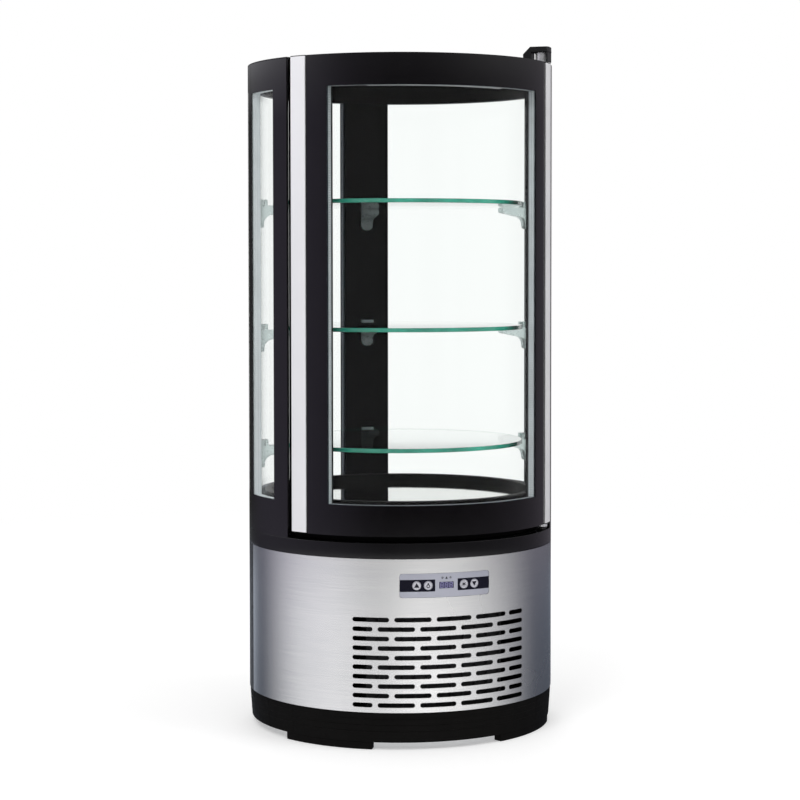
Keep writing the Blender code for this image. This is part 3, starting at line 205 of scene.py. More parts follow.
def slot_rows(rows, half_deg, middle_deg=0.0):
    """Loops of staggered rows of slots, as the CAD has them."""
    loops = []
    for row in range(rows):
        hand = 1.0 if row % 2 == 0 else -1.0
        start = -half_deg
        while start < half_deg - VENT_SHORTEST_DEG:
            end = min(start + VENT_LENGTH_DEG, half_deg)
            loops.append(slot_loop(middle_deg + hand * (start + end) / 2.0,
                                   VENT_TOP - row * VENT_ROW_PITCH, (end - start) / 2.0,
                                   VENT_HEIGHT))
            start += VENT_PITCH_DEG
    return loops


def plan_points(plan, level):
    """Points round a closed plan of (radius, angle) corners, with arcs between them."""
    points = []
    for (radius, angle), (next_radius, next_angle) in zip(plan, plan[1:] + plan[:1]):
        steps = max(1, math.ceil(abs(next_angle - angle) / STEP_DEG))
        for step in range(steps):
            share = step / steps
            points.append(polar(radius + (next_radius - radius) * share,
                                angle + (next_angle - angle) * share, level))
    return points


# Meshes

def sweep(outline, start=-180.0, end=180.0):
    """Closed outline of (radius, level) points turned about the case's axis."""
    whole = end - start > 359.9
    count = max(2, math.ceil((end - start) / STEP_DEG))
    bm = bmesh.new()
    rows = []
    for station in range(count if whole else count + 1):
        angle = start + (end - start) * station / count
        rows.append([bm.verts.new(polar(radius, angle, level)) for radius, level in outline])
    for station in range(count):
        first = rows[station]
        second = rows[(station + 1) % len(rows)]
        for index in range(len(outline)):
            after = (index + 1) % len(outline)
            if outline[index][0] > TINY or outline[after][0] > TINY:
                bm.faces.new((first[index], first[after], second[after], second[index]))
    if not whole:
        bm.faces.new(rows[0])
        bm.faces.new(rows[-1][::-1])
    bmesh.ops.remove_doubles(bm, verts=bm.verts[:], dist=1e-7)
    return bm


def wall(inner, outer, start, end, bottom, top, corner=0.0):
    """Piece of a tube wall, with its long edges rounded."""
    outline = box(inner, outer, bottom, top)
    return sweep(fillet(outline, corner) if corner else outline, start, end)


def lathe(profile, segments=48):
    """Profile of (radius, height) points, first and last on the axis, turned about Z."""
    bm = bmesh.new()
    rows = []
    for segment in range(segments):
        angle = math.tau * segment / segments
        rows.append([bm.verts.new((radius * math.cos(angle), radius * math.sin(angle), height))
                     for radius, height in profile])
    for segment in range(segments):
        first = rows[segment]
        second = rows[(segment + 1) % segments]
        for index in range(len(profile) - 1):
            bm.faces.new((first[index], second[index], second[index + 1], first[index + 1]))
    bmesh.ops.remove_doubles(bm, verts=bm.verts[:], dist=1e-7)
    return bm


def pane_grid(ring, start, end, window):
    """Curved pane, with material 1 outside a window of (angles, levels)."""
    cuts = sorted({start, end, window[0], window[1]})
    angles = []
    for low, high in zip(cuts, cuts[1:]):
        steps = max(1, math.ceil((high - low) / STEP_DEG))
        angles += [low + (high - low) * step / steps for step in range(steps)]
    angles.append(end)
    levels = [ring.bottom, window[2], window[3], ring.top]
    bm = bmesh.new()
    outside, inside = ([[bm.verts.new(polar(radius, angle, level)) for level in levels]
                        for angle in angles] for radius in (ring.outer, ring.inner))
    for column in range(len(angles) - 1):
        after = column + 1
        middle = (angles[column] + angles[after]) / 2.0
        for row in range(3):
            over = row + 1
            clear = row == 1 and window[0] < middle < window[1]
            face = bm.faces.new((outside[column][row], outside[after][row],
                                 outside[after][over], outside[column][over]))
            face.material_index = 0 if clear else 1
            bm.faces.new((inside[after][row], inside[column][row], inside[column][over],
                          inside[after][over]))
        for row, hand in ((0, 1), (3, -1)):
            corners = (outside[column][row], inside[column][row], inside[after][row],
                       outside[after][row])
            bm.faces.new(corners[::hand]).material_index = 1
    for column, hand in ((0, 1), (-1, -1)):
        for row in range(3):
            corners = (outside[column][row], outside[column][row + 1],
                       inside[column][row + 1], inside[column][row])
            bm.faces.new(corners[::hand]).material_index = 1
    return bm


def filled(loops):
    """Flat mesh inside the first loop of points and outside the others."""
    bm = bmesh.new()
    edges = []
    for loop in loops:
        verts = [bm.verts.new(point) for point in loop]
        edges += [bm.edges.new(pair) for pair in zip(verts, verts[1:] + verts[:1])]
    bmesh.ops.triangle_fill(bm, use_beauty=True, edges=edges, normal=UP)
    return bm


def pushed(bm):
    """Extrude all faces and return the new vertices."""
    sides = bmesh.ops.extrude_face_region(bm, geom=bm.faces[:])
    return [item for item in sides["geom"] if isinstance(item, bmesh.types.BMVert)]


def pierced(start, end, bottom, top, holes, inner, outer, edge=None):
    """Piece of a tube wall with holes; each hole is a loop of (angle, level) points."""
    scale = math.radians(outer)
    loops = [edge or box(start, end, bottom, top)] + holes
    bm = filled([[(angle * scale, level, 0.0) for angle, level in loop] for loop in loops])
    columns = max(2, math.ceil((end - start) / STEP_DEG))
    step = (end - start) / columns
    for column in range(1, columns):
        x = (start + (end - start) * column / columns) * scale
        everything = bm.verts[:] + bm.edges[:] + bm.faces[:]
        bmesh.ops.bisect_plane(bm, geom=everything, dist=1e-7, plane_co=(x, 0, 0),
                               plane_no=(1, 0, 0))
    moved = set(pushed(bm))
    for vert in bm.verts:
        radius = inner if vert in moved else outer
        # Points inside a column lie on its chord, so that each column stays flat
        place = (vert.co.x / scale - start) / step
        column = min(columns - 1, max(0, math.floor(place + TINY)))
        first = polar(radius, start + column * step, vert.co.y)
        last = polar(radius, start + (column + 1) * step, vert.co.y)
        vert.co = first.lerp(last, place - column)
    return bm


def bevel_sharp(bm, width, segments=2):
    """Round every sharp edge."""
    bmesh.ops.recalc_face_normals(bm, faces=bm.faces[:])
    edges = [edge for edge in bm.edges
             if edge.is_manifold and edge.calc_face_angle(0.0) > math.radians(SHARP_DEG)]
    bmesh.ops.bevel(bm, geom=edges, offset=width, segments=segments, profile=0.5,
                    affect="EDGES", clamp_overlap=True)
    return bm


def extruded(points, vector):
    bm = bmesh.new()
    bm.faces.new([bm.verts.new(point) for point in points])
    bmesh.ops.translate(bm, verts=pushed(bm), vec=vector)
    bmesh.ops.recalc_face_normals(bm, faces=bm.faces[:])
    return bm


def upright(plan, bottom, top, corner=0.0):
    bm = extruded(plan_points(plan, bottom), UP * (top - bottom))
    return bevel_sharp(bm, corner) if corner else bm


def tube_upright(ring, duct, bottom, top, corner):
    """Hollow upright between two plans."""
    bm = filled([plan_points(plan, bottom) for plan in (ring, duct)])
    bmesh.ops.translate(bm, verts=pushed(bm), vec=(0, 0, top - bottom))
    return bevel_sharp(bm, corner)


def radial_plate(outline, width):
    """Plate whose side view is an outline of (x outwards, z) points, centred across Y."""
    return extruded([Vector((x, -width / 2.0, z)) for x, z in outline], Vector((0, width, 0)))


def moved_to(bm, place):
    bm.transform(Matrix.Translation(place))
    return bm


def aim(bm, angle_deg, level=0.0):
    """Turn a bmesh's +X to point away from the axis at an angle round the case."""
    bm.transform(Matrix.Rotation(math.radians(angle_deg - 90.0), 4, "Z"))
    return moved_to(bm, (0, 0, level))


def on_face(bm, angle_deg, radius):
    """Place a bmesh made in X (right) and Y (up), facing +Z, on the control panel."""
    right = polar(1.0, angle_deg + 90.0)
    place = Matrix((right, UP, polar(1.0, angle_deg))).transposed().to_4x4()
    bm.transform(Matrix.Translation(polar(radius, angle_deg, CONTROL_LEVEL)) @ place)
    return bm


def wrap_flat(bm, radius):
    """Bend a bmesh made in X (along the face), Y (up) and Z (out) round the control panel."""
    for vert in bm.verts:
        turn = math.degrees(vert.co.x / radius)
        vert.co = polar(radius + vert.co.z, turn, vert.co.y)
    return moved_to(bm, (0, 0, CONTROL_LEVEL))


def merged(parts):
    """One bmesh that holds all of the given ones."""
    whole = bmesh.new()
    for part in parts:
        mesh = bpy.data.meshes.new("part")
        part.to_mesh(mesh)
        part.free()
        whole.from_mesh(mesh)
        bpy.data.meshes.remove(mesh)
    return whole


def add_object(name, data):
    obj = bpy.data.objects.new(name, data)
    bpy.context.scene.collection.objects.link(obj)
    return obj


def mesh_of(name, bm, materials):
    mesh = bpy.data.meshes.new(name)
    bm.to_mesh(mesh)
    bm.free()
    for material in materials:
        mesh.materials.append(material)
    return mesh


def piece(name, bm, finish, node=None, body=None, shading="weighted"):
    """Make a bmesh a shown piece that rides on a CAD body and may replace a CAD node."""
    bmesh.ops.recalc_face_normals(bm, faces=bm.faces[:])
    mesh = mesh_of(name, bm, [MATERIALS[key] for key in finish.split()])
    mesh.shade_smooth()
    mesh.set_sharp_from_angle(angle=math.radians(SHARP_DEG))
    obj = add_object(name, mesh)
    if shading == "radial":
        radial_shading(mesh)
    elif shading == "weighted":
        obj.modifiers.new("normals", "WEIGHTED_NORMAL").keep_sharp = True
    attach(obj, body or BODY_OF[node])
    if node:
        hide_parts(node)
    return obj


def radius_span(mesh, face):
    radii = [mesh.vertices[index].co.xy.length for index in face.vertices]
    return max(radii) - min(radii)


def radial_shading(mesh):
    """Exact cylinder normals on the faces that lie in a wall round the axis."""
    normals = [Vector((0, 0, 0))] * len(mesh.loops)
    for face in mesh.polygons:
        if radius_span(mesh, face) < WALL_SPAN:
            out = Vector((face.center.x, face.center.y, 0.0))
            hand = math.copysign(1.0, face.normal.dot(out))
            for index in face.loop_indices:
                spot = mesh.vertices[mesh.loops[index].vertex_index].co
                normals[index] = Vector((spot.x, spot.y, 0.0)).normalized() * hand
    mesh.normals_split_custom_set(normals)


def second_finish(obj, chosen):
    """Turn the faces that a test of face and outward direction picks to material 1."""
    for face in obj.data.polygons:
        if chosen(face, Vector((face.center.x, face.center.y, 0.0)).normalized()):
            face.material_index = 1


# Materials

class Nodes:
    """Short forms for building the nodes of a material or a world."""

    def __init__(self, owner):
        owner.use_nodes = True
        self.owner = owner
        self.tree = owner.node_tree
        self.tree.nodes.clear()

    def fill(self, node, **values):
        """Link or fix a node's inputs, called by name or as in0, in1, and set the rest."""
        for key, value in values.items():
            if key in ("in0", "in1", "in2"):
                socket = node.inputs[int(key[2])]
            else:
                socket = node.inputs.get(key.replace("_", " "))
            if socket is None:
                setattr(node, key, value)
            elif isinstance(value, bpy.types.NodeSocket):
                self.tree.links.new(value, socket)
            else:
                socket.default_value = value
        return node

    def add(self, kind, **values):
        return self.fill(self.tree.nodes.new("ShaderNode" + kind), **values)

    def noise(self, scale, stretch=(1, 1, 1), detail=3.0):
        mapping = self.add("Mapping", Scale=stretch, Vector=self.place)
        return self.add("TexNoise", Scale=scale, Detail=detail, Roughness=0.5,
                        Vector=mapping.outputs["Vector"]).outputs["Fac"]

    def ramp(self, factor, low, high):
        node = self.add("ValToRGB", Fac=factor)
        for element, position, colour in zip(node.color_ramp.elements, (0.3, 0.7), (low, high)):
            element.position = position
            element.color = (*colour, 1.0)
        return node.outputs["Color"]

    def spread(self, factor, low, high, start=0.3, end=0.7):
        return self.add("MapRange", From_Min=start, From_Max=end, To_Min=low, To_Max=high,
                        Value=factor).outputs["Result"]

    def bump(self, height, strength, distance):
        node = self.add("Bump", Strength=strength, Distance=distance, Height=height)
        self.shade(Normal=node.outputs["Normal"])

    def any_ray(self, *kinds):
        """1 for rays of these kinds."""
        rays = self.add("LightPath").outputs
        total = rays[kinds[0]]
        for kind in kinds[1:]:
            total = self.add("Math", operation="MAXIMUM", in0=total, in1=rays[kind]).outputs[0]
        return total

    def mix(self, factor, first, second):
        """Output of a mix of two nodes' shaders."""
        return self.add("MixShader", Fac=factor, in1=first.outputs[0],
                        in2=second.outputs[0])

    def shade(self, **values):
        self.fill(self.shader, **values)

    def show(self, node):
        self.fill(self.output, Surface=node.outputs[0])


def material_nodes(name):
    """New material's nodes, with a Principled shader."""
    nodes = Nodes(bpy.data.materials.new(name))
    nodes.output = nodes.add("OutputMaterial")
    nodes.shader = nodes.add("BsdfPrincipled")
    nodes.show(nodes.shader)
    nodes.place = nodes.add("TexCoord").outputs["Object"]
    return nodes


def shaded(colour, share):
    return tuple(channel * share for channel in colour)


def surface(name, colour, roughness, grain, vary=0.12, spot_scale=40.0, rough_vary=0.05,
            grain_scale=900.0, grain_stretch=(1, 1, 1), grain_depth=0.0002, **fixed):
    """Principled material with patches of shade, uneven roughness and a fine grain."""
    nodes = material_nodes(name)
    patches = nodes.noise(spot_scale)
    wear = nodes.noise(spot_scale * 3.1)
    nodes.shade(Base_Color=nodes.ramp(patches, shaded(colour, 1 - vary),
                                      shaded(colour, 1 + vary)),
                Roughness=nodes.spread(wear, roughness - rough_vary, roughness + rough_vary),
                **fixed)
    nodes.bump(nodes.noise(grain_scale, grain_stretch, detail=2.0), grain, grain_depth)
    return nodes.owner


def glass_material(name, colour, ior, waviness=0.02):
    """Clear glass that lets lamps through."""
    nodes = material_nodes(name)
    nodes.shade(Base_Color=nodes.ramp(nodes.noise(3.0), shaded(colour, 0.995), colour),
                Roughness=0.0, IOR=ior, Transmission_Weight=1.0)
    nodes.bump(nodes.noise(9.0, (1, 1, 0.3), detail=1.0), waviness, 0.001)
    nodes.show(nodes.mix(nodes.any_ray("Is Shadow Ray"), nodes.shader,
                         nodes.add("BsdfTransparent")))
    return nodes.owner


def steel_material(name):
    """Stainless sheet brushed along the case, so that highlights spread up and down."""
    nodes = material_nodes(name)
    brushed = nodes.noise(1.0, (14, 14, 2600), detail=2.0)
    tangent = nodes.add("Tangent", direction_type="RADIAL", axis="Z")
    nodes.shade(Base_Color=nodes.ramp(brushed, (0.66, 0.665, 0.67), (0.75, 0.75, 0.74)),
                Roughness=nodes.spread(nodes.noise(7.0), 0.24, 0.28), Metallic=1.0,
                Anisotropic=0.5, Anisotropic_Rotation=0.25, Tangent=tangent.outputs["Tangent"])
    nodes.bump(nodes.noise(1.0, (20, 20, 3400), detail=2.0), 0.03, 0.00005)
    return nodes.owner


def black(name, colour, roughness, specular, grain_scale, grain, **values):
    return surface(name, colour, roughness, grain, grain_scale=grain_scale,
                   Specular_IOR_Level=specular, **values)


def spacer_metal(name, colour):
    return black(name, colour, 0.50, 0.1, 2000.0, 0.08, vary=0.08)


MATERIALS = {
    "steel": steel_material("brushed_steel"),
    # Painted shade: the sheet's cut walls, in its slots, its panel opening and at its ends, are
    # darkened to near black, though they are the same steel
    "cut_edge": surface("painted_shade_slot_walls", (0.05, 0.05, 0.052), 0.55, grain_scale=2500.0,
                        grain=0.1, Metallic=0.6),
    # The panes are coated, so they reflect far less than the shelves
    "glass": glass_material("clear_glass", (0.992, 1.0, 0.996), 1.12),
    "shelf_glass": glass_material("shelf_glass", (0.97, 1.0, 0.99), 1.5, 0.01),
    "shelf_edge": surface("shelf_edge", (0.035, 0.36, 0.25), 0.18, vary=0.35, spot_scale=22.0,
                          grain=0.05, Transmission_Weight=0.25),
    "print": black("printed_border", (0.0035, 0.0030, 0.0038), 0.05, 0.5, 50.0, 0.015,
                   rough_vary=0.02),
    "gloss": black("black_gloss_lacquer", (0.0045, 0.0042, 0.0050), 0.04, 0.34, 60.0, 0.02,
                   rough_vary=0.01),
    "column": black("column_lacquer", (0.0030, 0.0030, 0.0032), 0.45, 0.0, 500.0, 0.03),
    "paint": black("black_powder_paint", (0.008, 0.008, 0.009), 0.42, 0.4, 1600.0, 0.25),
    "plastic": black("black_moulded_plastic", (0.0045, 0.0042, 0.0040), 0.55, 0.05, 2600.0,
                     0.25),
    "foam": black("dark_foam_moulding", (0.0052, 0.0050, 0.0050), 0.5, 0.05, 1500.0, 0.12),
    "rubber": black("black_rubber", (0.028, 0.030, 0.042), 0.75, 0.2, 3000.0, 0.3),
    "panel": black("panel_black", (0.006, 0.006, 0.014), 0.30, 0.08, 1500.0, 0.03, vary=0.08),
    "display": black("display_lens", (0.022, 0.019, 0.066), 0.30, 0.10, 900.0, 0.02,
                     vary=0.10),
    "icon": black("icon_ink", (0.012, 0.012, 0.020), 0.5, 0.1, 3000.0, 0.05, vary=0.10),
    # The coils are black-painted and kept near black as painted shade, so that the vent slots look
    # black
    "fins": black("black_coil_fins_and_shade", (0.030, 0.030, 0.032), 0.50, 0.2, 1.0, 0.4, vary=0.20,
                  grain_stretch=(900, 900, 20)),
    "mirror": surface("mirror_steel", (0.62, 0.63, 0.61), 0.05, vary=0.02, rough_vary=0.015,
                      grain_scale=14.0, grain=0.03, Metallic=1.0),
    "aluminium": surface("satin_aluminium", (0.88, 0.88, 0.895), 0.42, vary=0.03,
                         spot_scale=5.0, grain_scale=1.0, grain_stretch=(5000, 5000, 12),
                         grain=0.12, grain_depth=0.00004, Metallic=0.28),
    # The spacers are one aluminium given as lit and shaded copies: painted shade on the door's
    # spacer and on the rear units' spacers and perforations, painted light on the side units'
    # spacers and on the door spacer's faces that look sideways into the window
    "spacer": spacer_metal("spacer_aluminium", (0.075, 0.090, 0.105)),
    "bright_spacer": spacer_metal("bright_spacer_aluminium", (0.50, 0.55, 0.57)),
    "rear_spacer": spacer_metal("rear_spacer_aluminium", (0.028, 0.036, 0.050)),
    "side_spacer": surface("side_spacer_aluminium", (0.70, 0.76, 0.78), 0.50, vary=0.08,
                           spot_scale=12.0, grain_scale=2000.0, grain=0.08),
    "dots": surface("spacer_perforation", (0.90, 0.95, 0.98), 0.5, vary=0.05,
                    grain_scale=3000.0, grain=0.05),
    "painted_shade_dots": surface("rear_perforation_painted_shade", (0.24, 0.28, 0.34), 0.5, vary=0.05,
                         grain_scale=3000.0, grain=0.05),
    "chrome": surface("plated_steel", (0.74, 0.74, 0.76), 0.22, vary=0.04, rough_vary=0.04,
                      grain_scale=700.0, grain=0.06, Metallic=0.6),
    "zinc": surface("galvanised_steel", (0.50, 0.51, 0.53), 0.42, vary=0.16, spot_scale=90.0,
                    grain_scale=300.0, grain=0.08, Metallic=1.0),
    "copper": surface("tarnished_copper", (0.50, 0.22, 0.12), 0.36, vary=0.25,
                      spot_scale=60.0, grain_scale=800.0, grain=0.1, Metallic=1.0),
    "film": surface("silver_film", (0.46, 0.47, 0.54), 0.34, vary=0.04, spot_scale=12.0,
                    grain_scale=3000.0, grain=0.06, Metallic=0.75),
    "digit": surface("display_digit", (0.48, 0.46, 0.78), 0.4, vary=0.06,
                     grain_scale=3000.0, grain=0.03),
    "button": surface("silver_button", (0.55, 0.55, 0.60), 0.32, vary=0.05,
                      grain_scale=2500.0, grain=0.08, Metallic=0.5),
    "frosted": surface("frosted_plastic", (0.74, 0.84, 0.83), 0.30, vary=0.05,
                       spot_scale=50.0, grain_scale=1800.0, grain=0.10,
                       Transmission_Weight=0.80, IOR=1.30),
    "lamp": surface("lamp_diffuser", (0.36, 0.36, 0.36), 0.35, vary=0.02, grain_scale=1500.0,
                    grain=0.05, Emission_Color=(0.92, 0.96, 1.0, 1.0), Emission_Strength=0.06),
}


# Base

PLINTH_WALL = 0.0115
PLINTH_DRAFT = 0.0029
PLINTH_LEDGE = 0.008
PLINTH_SEAT = 0.0095
PLINTH_GROOVES = (0.0266, 0.0177, 0.0088)    # below the plinth's top
GROOVE_WIDTH = 0.0012
GROOVE_DEPTH = 0.00045
PLINTH_ROUND = ((0.0004, 0.0008), (0.0012, 0.0))     # in from the face, down from the top
LIP_HEIGHT = 0.0018
LIP_WALL = 0.0012
RIBS = 24
RIB_WIDTH = 0.0009
RIB_LOW = 0.001                              # above the foot arcs
RIB_HIGH = 0.0024                            # below the plinth's top
RIB_FOOT_DEPTHS = (-0.001, 0.0002)           # of its back and front from the plinth's face
RIB_HEAD_DEPTHS = (-0.0001, -0.002)
FOOT_HEIGHT = 0.0105
FOOT_START_DEG = 27.0
FOOT_END_DEG = 64.0
FRONT_RIGHT_START_DEG = 23.5                 # this foot is the longest
FOOT_INSET = 0.002
FOOT_SINK = 0.0005                           # of the foot arcs into the plinth
FOOT_BEVEL = 0.0012

VENT_HALF_DEG = 34.0
VENT_LENGTH_DEG = 13.35
VENT_PITCH_DEG = 15.15
VENT_SHORTEST_DEG = 2.0
VENT_HEIGHT = 0.0065
VENT_ROW_PITCH = 0.01332
VENT_ROWS = 10
VENT_TOP = WRAP.top - 0.0847
REAR_VENT_HALF_DEG = 22.0
REAR_VENT_ROWS = 6
INLET_HALF_WIDTH = 0.015
INLET_HALF_HEIGHT = 0.011
INLET_CORNER = 0.0008

CONTROL_HALF_HEIGHT = 0.017
CONTROL_LEVEL = WRAP.top - 0.037
CONTROL_HALF_DEG = case_deg(0.0668)
CONTROL_CORNER = 0.0045

COLLAR_WALL = 0.0123
COLLAR_LEDGE = 0.0034                        # thickness of the ledge under the floor
COLLAR_ROUND = 0.0007
FLOOR_SEAT = 0.012
FLOOR_ROUND = 0.0012
PLATE_ROUND = 0.0004


def make_plinth():
    top_outer = PLINTH.outer
    foot_outer = top_outer - PLINTH_DRAFT
    inner = top_outer - PLINTH_WALL
    ledge = inner - PLINTH_LEDGE
    height = PLINTH.top - FOOT_HEIGHT
    half = GROOVE_WIDTH / 2.0

    def face(level):
        return foot_outer + (top_outer - foot_outer) * (level - FOOT_HEIGHT) / height

    outline = [(ledge, FOOT_HEIGHT), (foot_outer, FOOT_HEIGHT)]
    for drop in PLINTH_GROOVES:
        level = PLINTH.top - drop
        outline += [(face(level - half), level - half), (face(level) - GROOVE_DEPTH, level),
                    (face(level + half), level + half)]
    outline += [(top_outer - inwards, PLINTH.top - drop) for inwards, drop in PLINTH_ROUND]
    # A lip behind the sheets' lower edge keeps daylight out of the joint
    lip = WRAP.inner - CLEAR
    lip_top = PLINTH.top + LIP_HEIGHT
    outline += [(lip, PLINTH.top), (lip, lip_top), (lip - LIP_WALL, lip_top),
                (lip - LIP_WALL, PLINTH.top), (inner, PLINTH.top),
                (inner, FOOT_HEIGHT + PLINTH_SEAT), (ledge, FOOT_HEIGHT + PLINTH_SEAT)]
    parts = [sweep(outline)]
    for middle, hand, near in ((0.0, -1.0, FOOT_START_DEG), (0.0, 1.0, FRONT_RIGHT_START_DEG),
                               (180.0, -1.0, FOOT_START_DEG), (180.0, 1.0, FOOT_START_DEG)):
        low, high = (middle + angle for angle in span(hand, near, FOOT_END_DEG))
        foot = wall(ledge + FOOT_INSET, foot_outer - FOOT_INSET / 4.0, low, high, 0.0,
                    FOOT_HEIGHT + FOOT_SINK)
        parts.append(bevel_sharp(foot, FOOT_BEVEL, 3))
    rib_deg = case_deg(RIB_WIDTH / 2.0)
    rib = [(foot_outer + depth, FOOT_HEIGHT + RIB_LOW) for depth in RIB_FOOT_DEPTHS]
    rib += [(top_outer + depth, PLINTH.top - RIB_HIGH) for depth in RIB_HEAD_DEPTHS]
    for index in range(RIBS):
        angle = -180.0 + index * 360.0 / RIBS
        parts.append(sweep(rib, angle - rib_deg, angle + rib_deg))
    piece("plinth", merged(parts), "plastic", "plinth_ring")


def make_sheets():
    seam = case_deg(CLEAR / 2.0)
    holes = slot_rows(VENT_ROWS, VENT_HALF_DEG)
    holes.append(box_loop(-CONTROL_HALF_DEG, CONTROL_HALF_DEG, CONTROL_LEVEL - CONTROL_HALF_HEIGHT,
                          CONTROL_LEVEL + CONTROL_HALF_HEIGHT, CONTROL_CORNER))
    sheet = pierced(-90.0 + seam, 90.0 - seam, WRAP.bottom, WRAP.top, holes, WRAP.inner,
                    CASE_RADIUS)
    front = piece("front_sheet", sheet, "steel cut_edge", "front_wrap",
                  shading="radial")
    # The cut walls get the painted shade
    second_finish(front, lambda face, out: radius_span(front.data, face) > WALL_SPAN
                  and WRAP.bottom + TINY < face.center.z < WRAP.top - TINY)
    holes = slot_rows(REAR_VENT_ROWS, REAR_VENT_HALF_DEG, 180.0)
    inlet_low, inlet_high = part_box("power_inlet")
    middle = (inlet_low.z + inlet_high.z) / 2.0
    mouth = case_deg(INLET_HALF_WIDTH)
    holes.append(box_loop(180.0 - mouth, 180.0 + mouth, middle - INLET_HALF_HEIGHT,
                          middle + INLET_HALF_HEIGHT, INLET_CORNER, 2))
    rear = pierced(90.0 + seam, 270.0 - seam, REAR.bottom, REAR.top, holes, REAR.inner,
                   CASE_RADIUS)
    piece("rear_sheet", rear, "paint", "rear_cover", shading="radial")


def make_collar():
    inner = CASE_RADIUS - COLLAR_WALL
    ledge_top = COLLAR.bottom + COLLAR_LEDGE
    outline = [(COLLAR.inner, COLLAR.bottom), (CASE_RADIUS, COLLAR.bottom),
               (CASE_RADIUS, COLLAR.top), (inner, COLLAR.top), (inner, ledge_top),
               (COLLAR.inner, ledge_top)]
    piece("collar", sweep(fillet(outline, COLLAR_ROUND, 3)), "gloss", "collar_ring")


def make_floor():
    points = [vert.co for vert in frame["nodes"]["floor_base"].data.vertices]
    bottom, tub_floor = sorted({round(point.z, 4) for point in points})[:2]
    shoulder = max(round(point.xy.length, 4) for point in points)
    rim_inner = FLOOR_PLATE.outer + CLEAR
    seat = FLOOR_PLATE.bottom - CLEAR
    seat_inner = rim_inner - FLOOR_SEAT
    lower = COLLAR.inner - CLEAR
    shoulder_bottom = COLLAR.bottom + COLLAR_LEDGE + CLEAR
    outline = [(0.0, bottom), (lower, bottom), (lower, shoulder_bottom),
               (shoulder, shoulder_bottom), (shoulder, COLLAR.top), (LINING, COLLAR.top),
               (LINING, FLOOR_BASE.top), (rim_inner, FLOOR_BASE.top), (rim_inner, seat),
               (seat_inner, seat), (seat_inner, tub_floor), (0.0, tub_floor)]
    piece("floor_moulding", sweep(fillet(outline, FLOOR_ROUND, 3)), "foam",
          "floor_base")
    plate = box(0.0, FLOOR_PLATE.outer, FLOOR_PLATE.bottom, FLOOR_PLATE.top)
    piece("mirror_floor", sweep(fillet(plate, PLATE_ROUND)), "mirror",
          "floor_plate")


# Frame and glazing

POST_END_DEG = 95.4
POST_BEVEL = 0.0006
FRAME_BEVEL = 0.0005         # of the jambs and the column
JAMB_BEVEL_DEG = 2.8
JAMB_STEP_DEG = 0.5          # the jamb's outer part reaches this far behind a side pane
COLUMN_DEG = 178.5           # the photo shows it a little off the middle
COLUMN_FRONT_DEG = 9.8
COLUMN_STEM_DEG = 7.7
COLUMN_WALL = 0.003
SIDE_EDGE_DEG = 0.6          # print along the rear edge of a side pane
UNIT_GAP_DEG = 0.1
REAR_RISE = 0.006            # the ceiling hides the rear spacers' upper bars
DOT_PITCH = 0.0034
DOT_RADIUS = 0.0009
DOT_INSET = 0.0026           # of the rows from the spacer's faces
DOT_PROUD = 0.00006


def make_frame():
    """Posts flush with the glazing units, door jambs, and the column with its air duct."""
    for hand, side in SIDES:
        post = turned(box(UNIT_INNER, POST.outer, POST.start, POST_END_DEG), hand)
        piece("side_post_" + side, upright(post, POST.bottom, POST.top, POST_BEVEL), "gloss",
              "post_" + side)
        step = SIDE_PANE.start + JAMB_STEP_DEG
        jamb = [(JAMB.inner, JAMB.start + JAMB_BEVEL_DEG), (LINING, JAMB.start),
                (LINING, step), (JAMB.outer, step), (JAMB.outer, JAMB.end),
                (JAMB.inner, JAMB.end)]
        piece("door_jamb_" + side,
              upright(turned(jamb, hand), JAMB.bottom, JAMB.top, FRAME_BEVEL), "column",
              "jamb_" + side)
    shoulder = UNIT_INNER - CLEAR
    wall_deg = arc_deg(COLUMN_WALL, COLUMN.inner)
    low, high = (COLUMN_DEG + hand * COLUMN_FRONT_DEG for hand, side in SIDES)
    stem_low, stem_high = (COLUMN_DEG + hand * COLUMN_STEM_DEG for hand, side in SIDES)
    ring = [(COLUMN.inner, low), (shoulder, low), (shoulder, stem_low),
            (COLUMN.outer, stem_low), (COLUMN.outer, stem_high), (shoulder, stem_high),
            (shoulder, high), (COLUMN.inner, high)]
    duct = box(COLUMN.inner + COLUMN_WALL, COLUMN.outer - COLUMN_WALL, stem_low + wall_deg,
               stem_high - wall_deg)
    piece("air_column", tube_upright(ring, duct, COLUMN.bottom, COLUMN.top, FRAME_BEVEL),
          "column", "rear_column")


def add_dot(bm, centre, across, along, lift):
    """Hexagon standing a little proud of a face."""
    middle = centre + lift * DOT_PROUD
    top = [bm.verts.new(middle + across * x + along * y) for x, y in circle(DOT_RADIUS, 6)]
    low = [bm.verts.new(vert.co - lift * DOT_PROUD * 2.0) for vert in top]
    bm.faces.new(top)
    bm.faces.new(low[::-1])
    for index in range(6):
        after = (index + 1) % 6
        bm.faces.new((low[index], low[after], top[after], top[index]))


def dots_on(window):
    """Two rows of perforations on the faces of a spacer that look into the window."""
    start, end, bottom, top = window
    bm = bmesh.new()
    for radius in (DOOR_SPACER.inner + DOT_INSET, DOOR_SPACER.outer - DOT_INSET):
        for index in range(int((top - bottom) / DOT_PITCH)):
            level = bottom + (index + 0.5) * DOT_PITCH
            if level > top - DOT_RADIUS:
                continue
            for angle, hand in ((start, 1.0), (end, -1.0)):
                add_dot(bm, polar(radius, angle, level), polar(1.0, angle), UP,
                        polar(hand, angle + 90.0))
        step = math.degrees(DOT_PITCH / radius)
        for index in range(int((end - start) / step)):
            angle = start + (index + 0.5) * step
            if angle > end - 0.3:
                continue
            for level, hand in ((bottom, 1.0), (top, -1.0)):
                add_dot(bm, polar(radius, angle, level), polar(1.0, angle),
                        polar(1.0, angle + 90.0), UP * hand)
    return bm


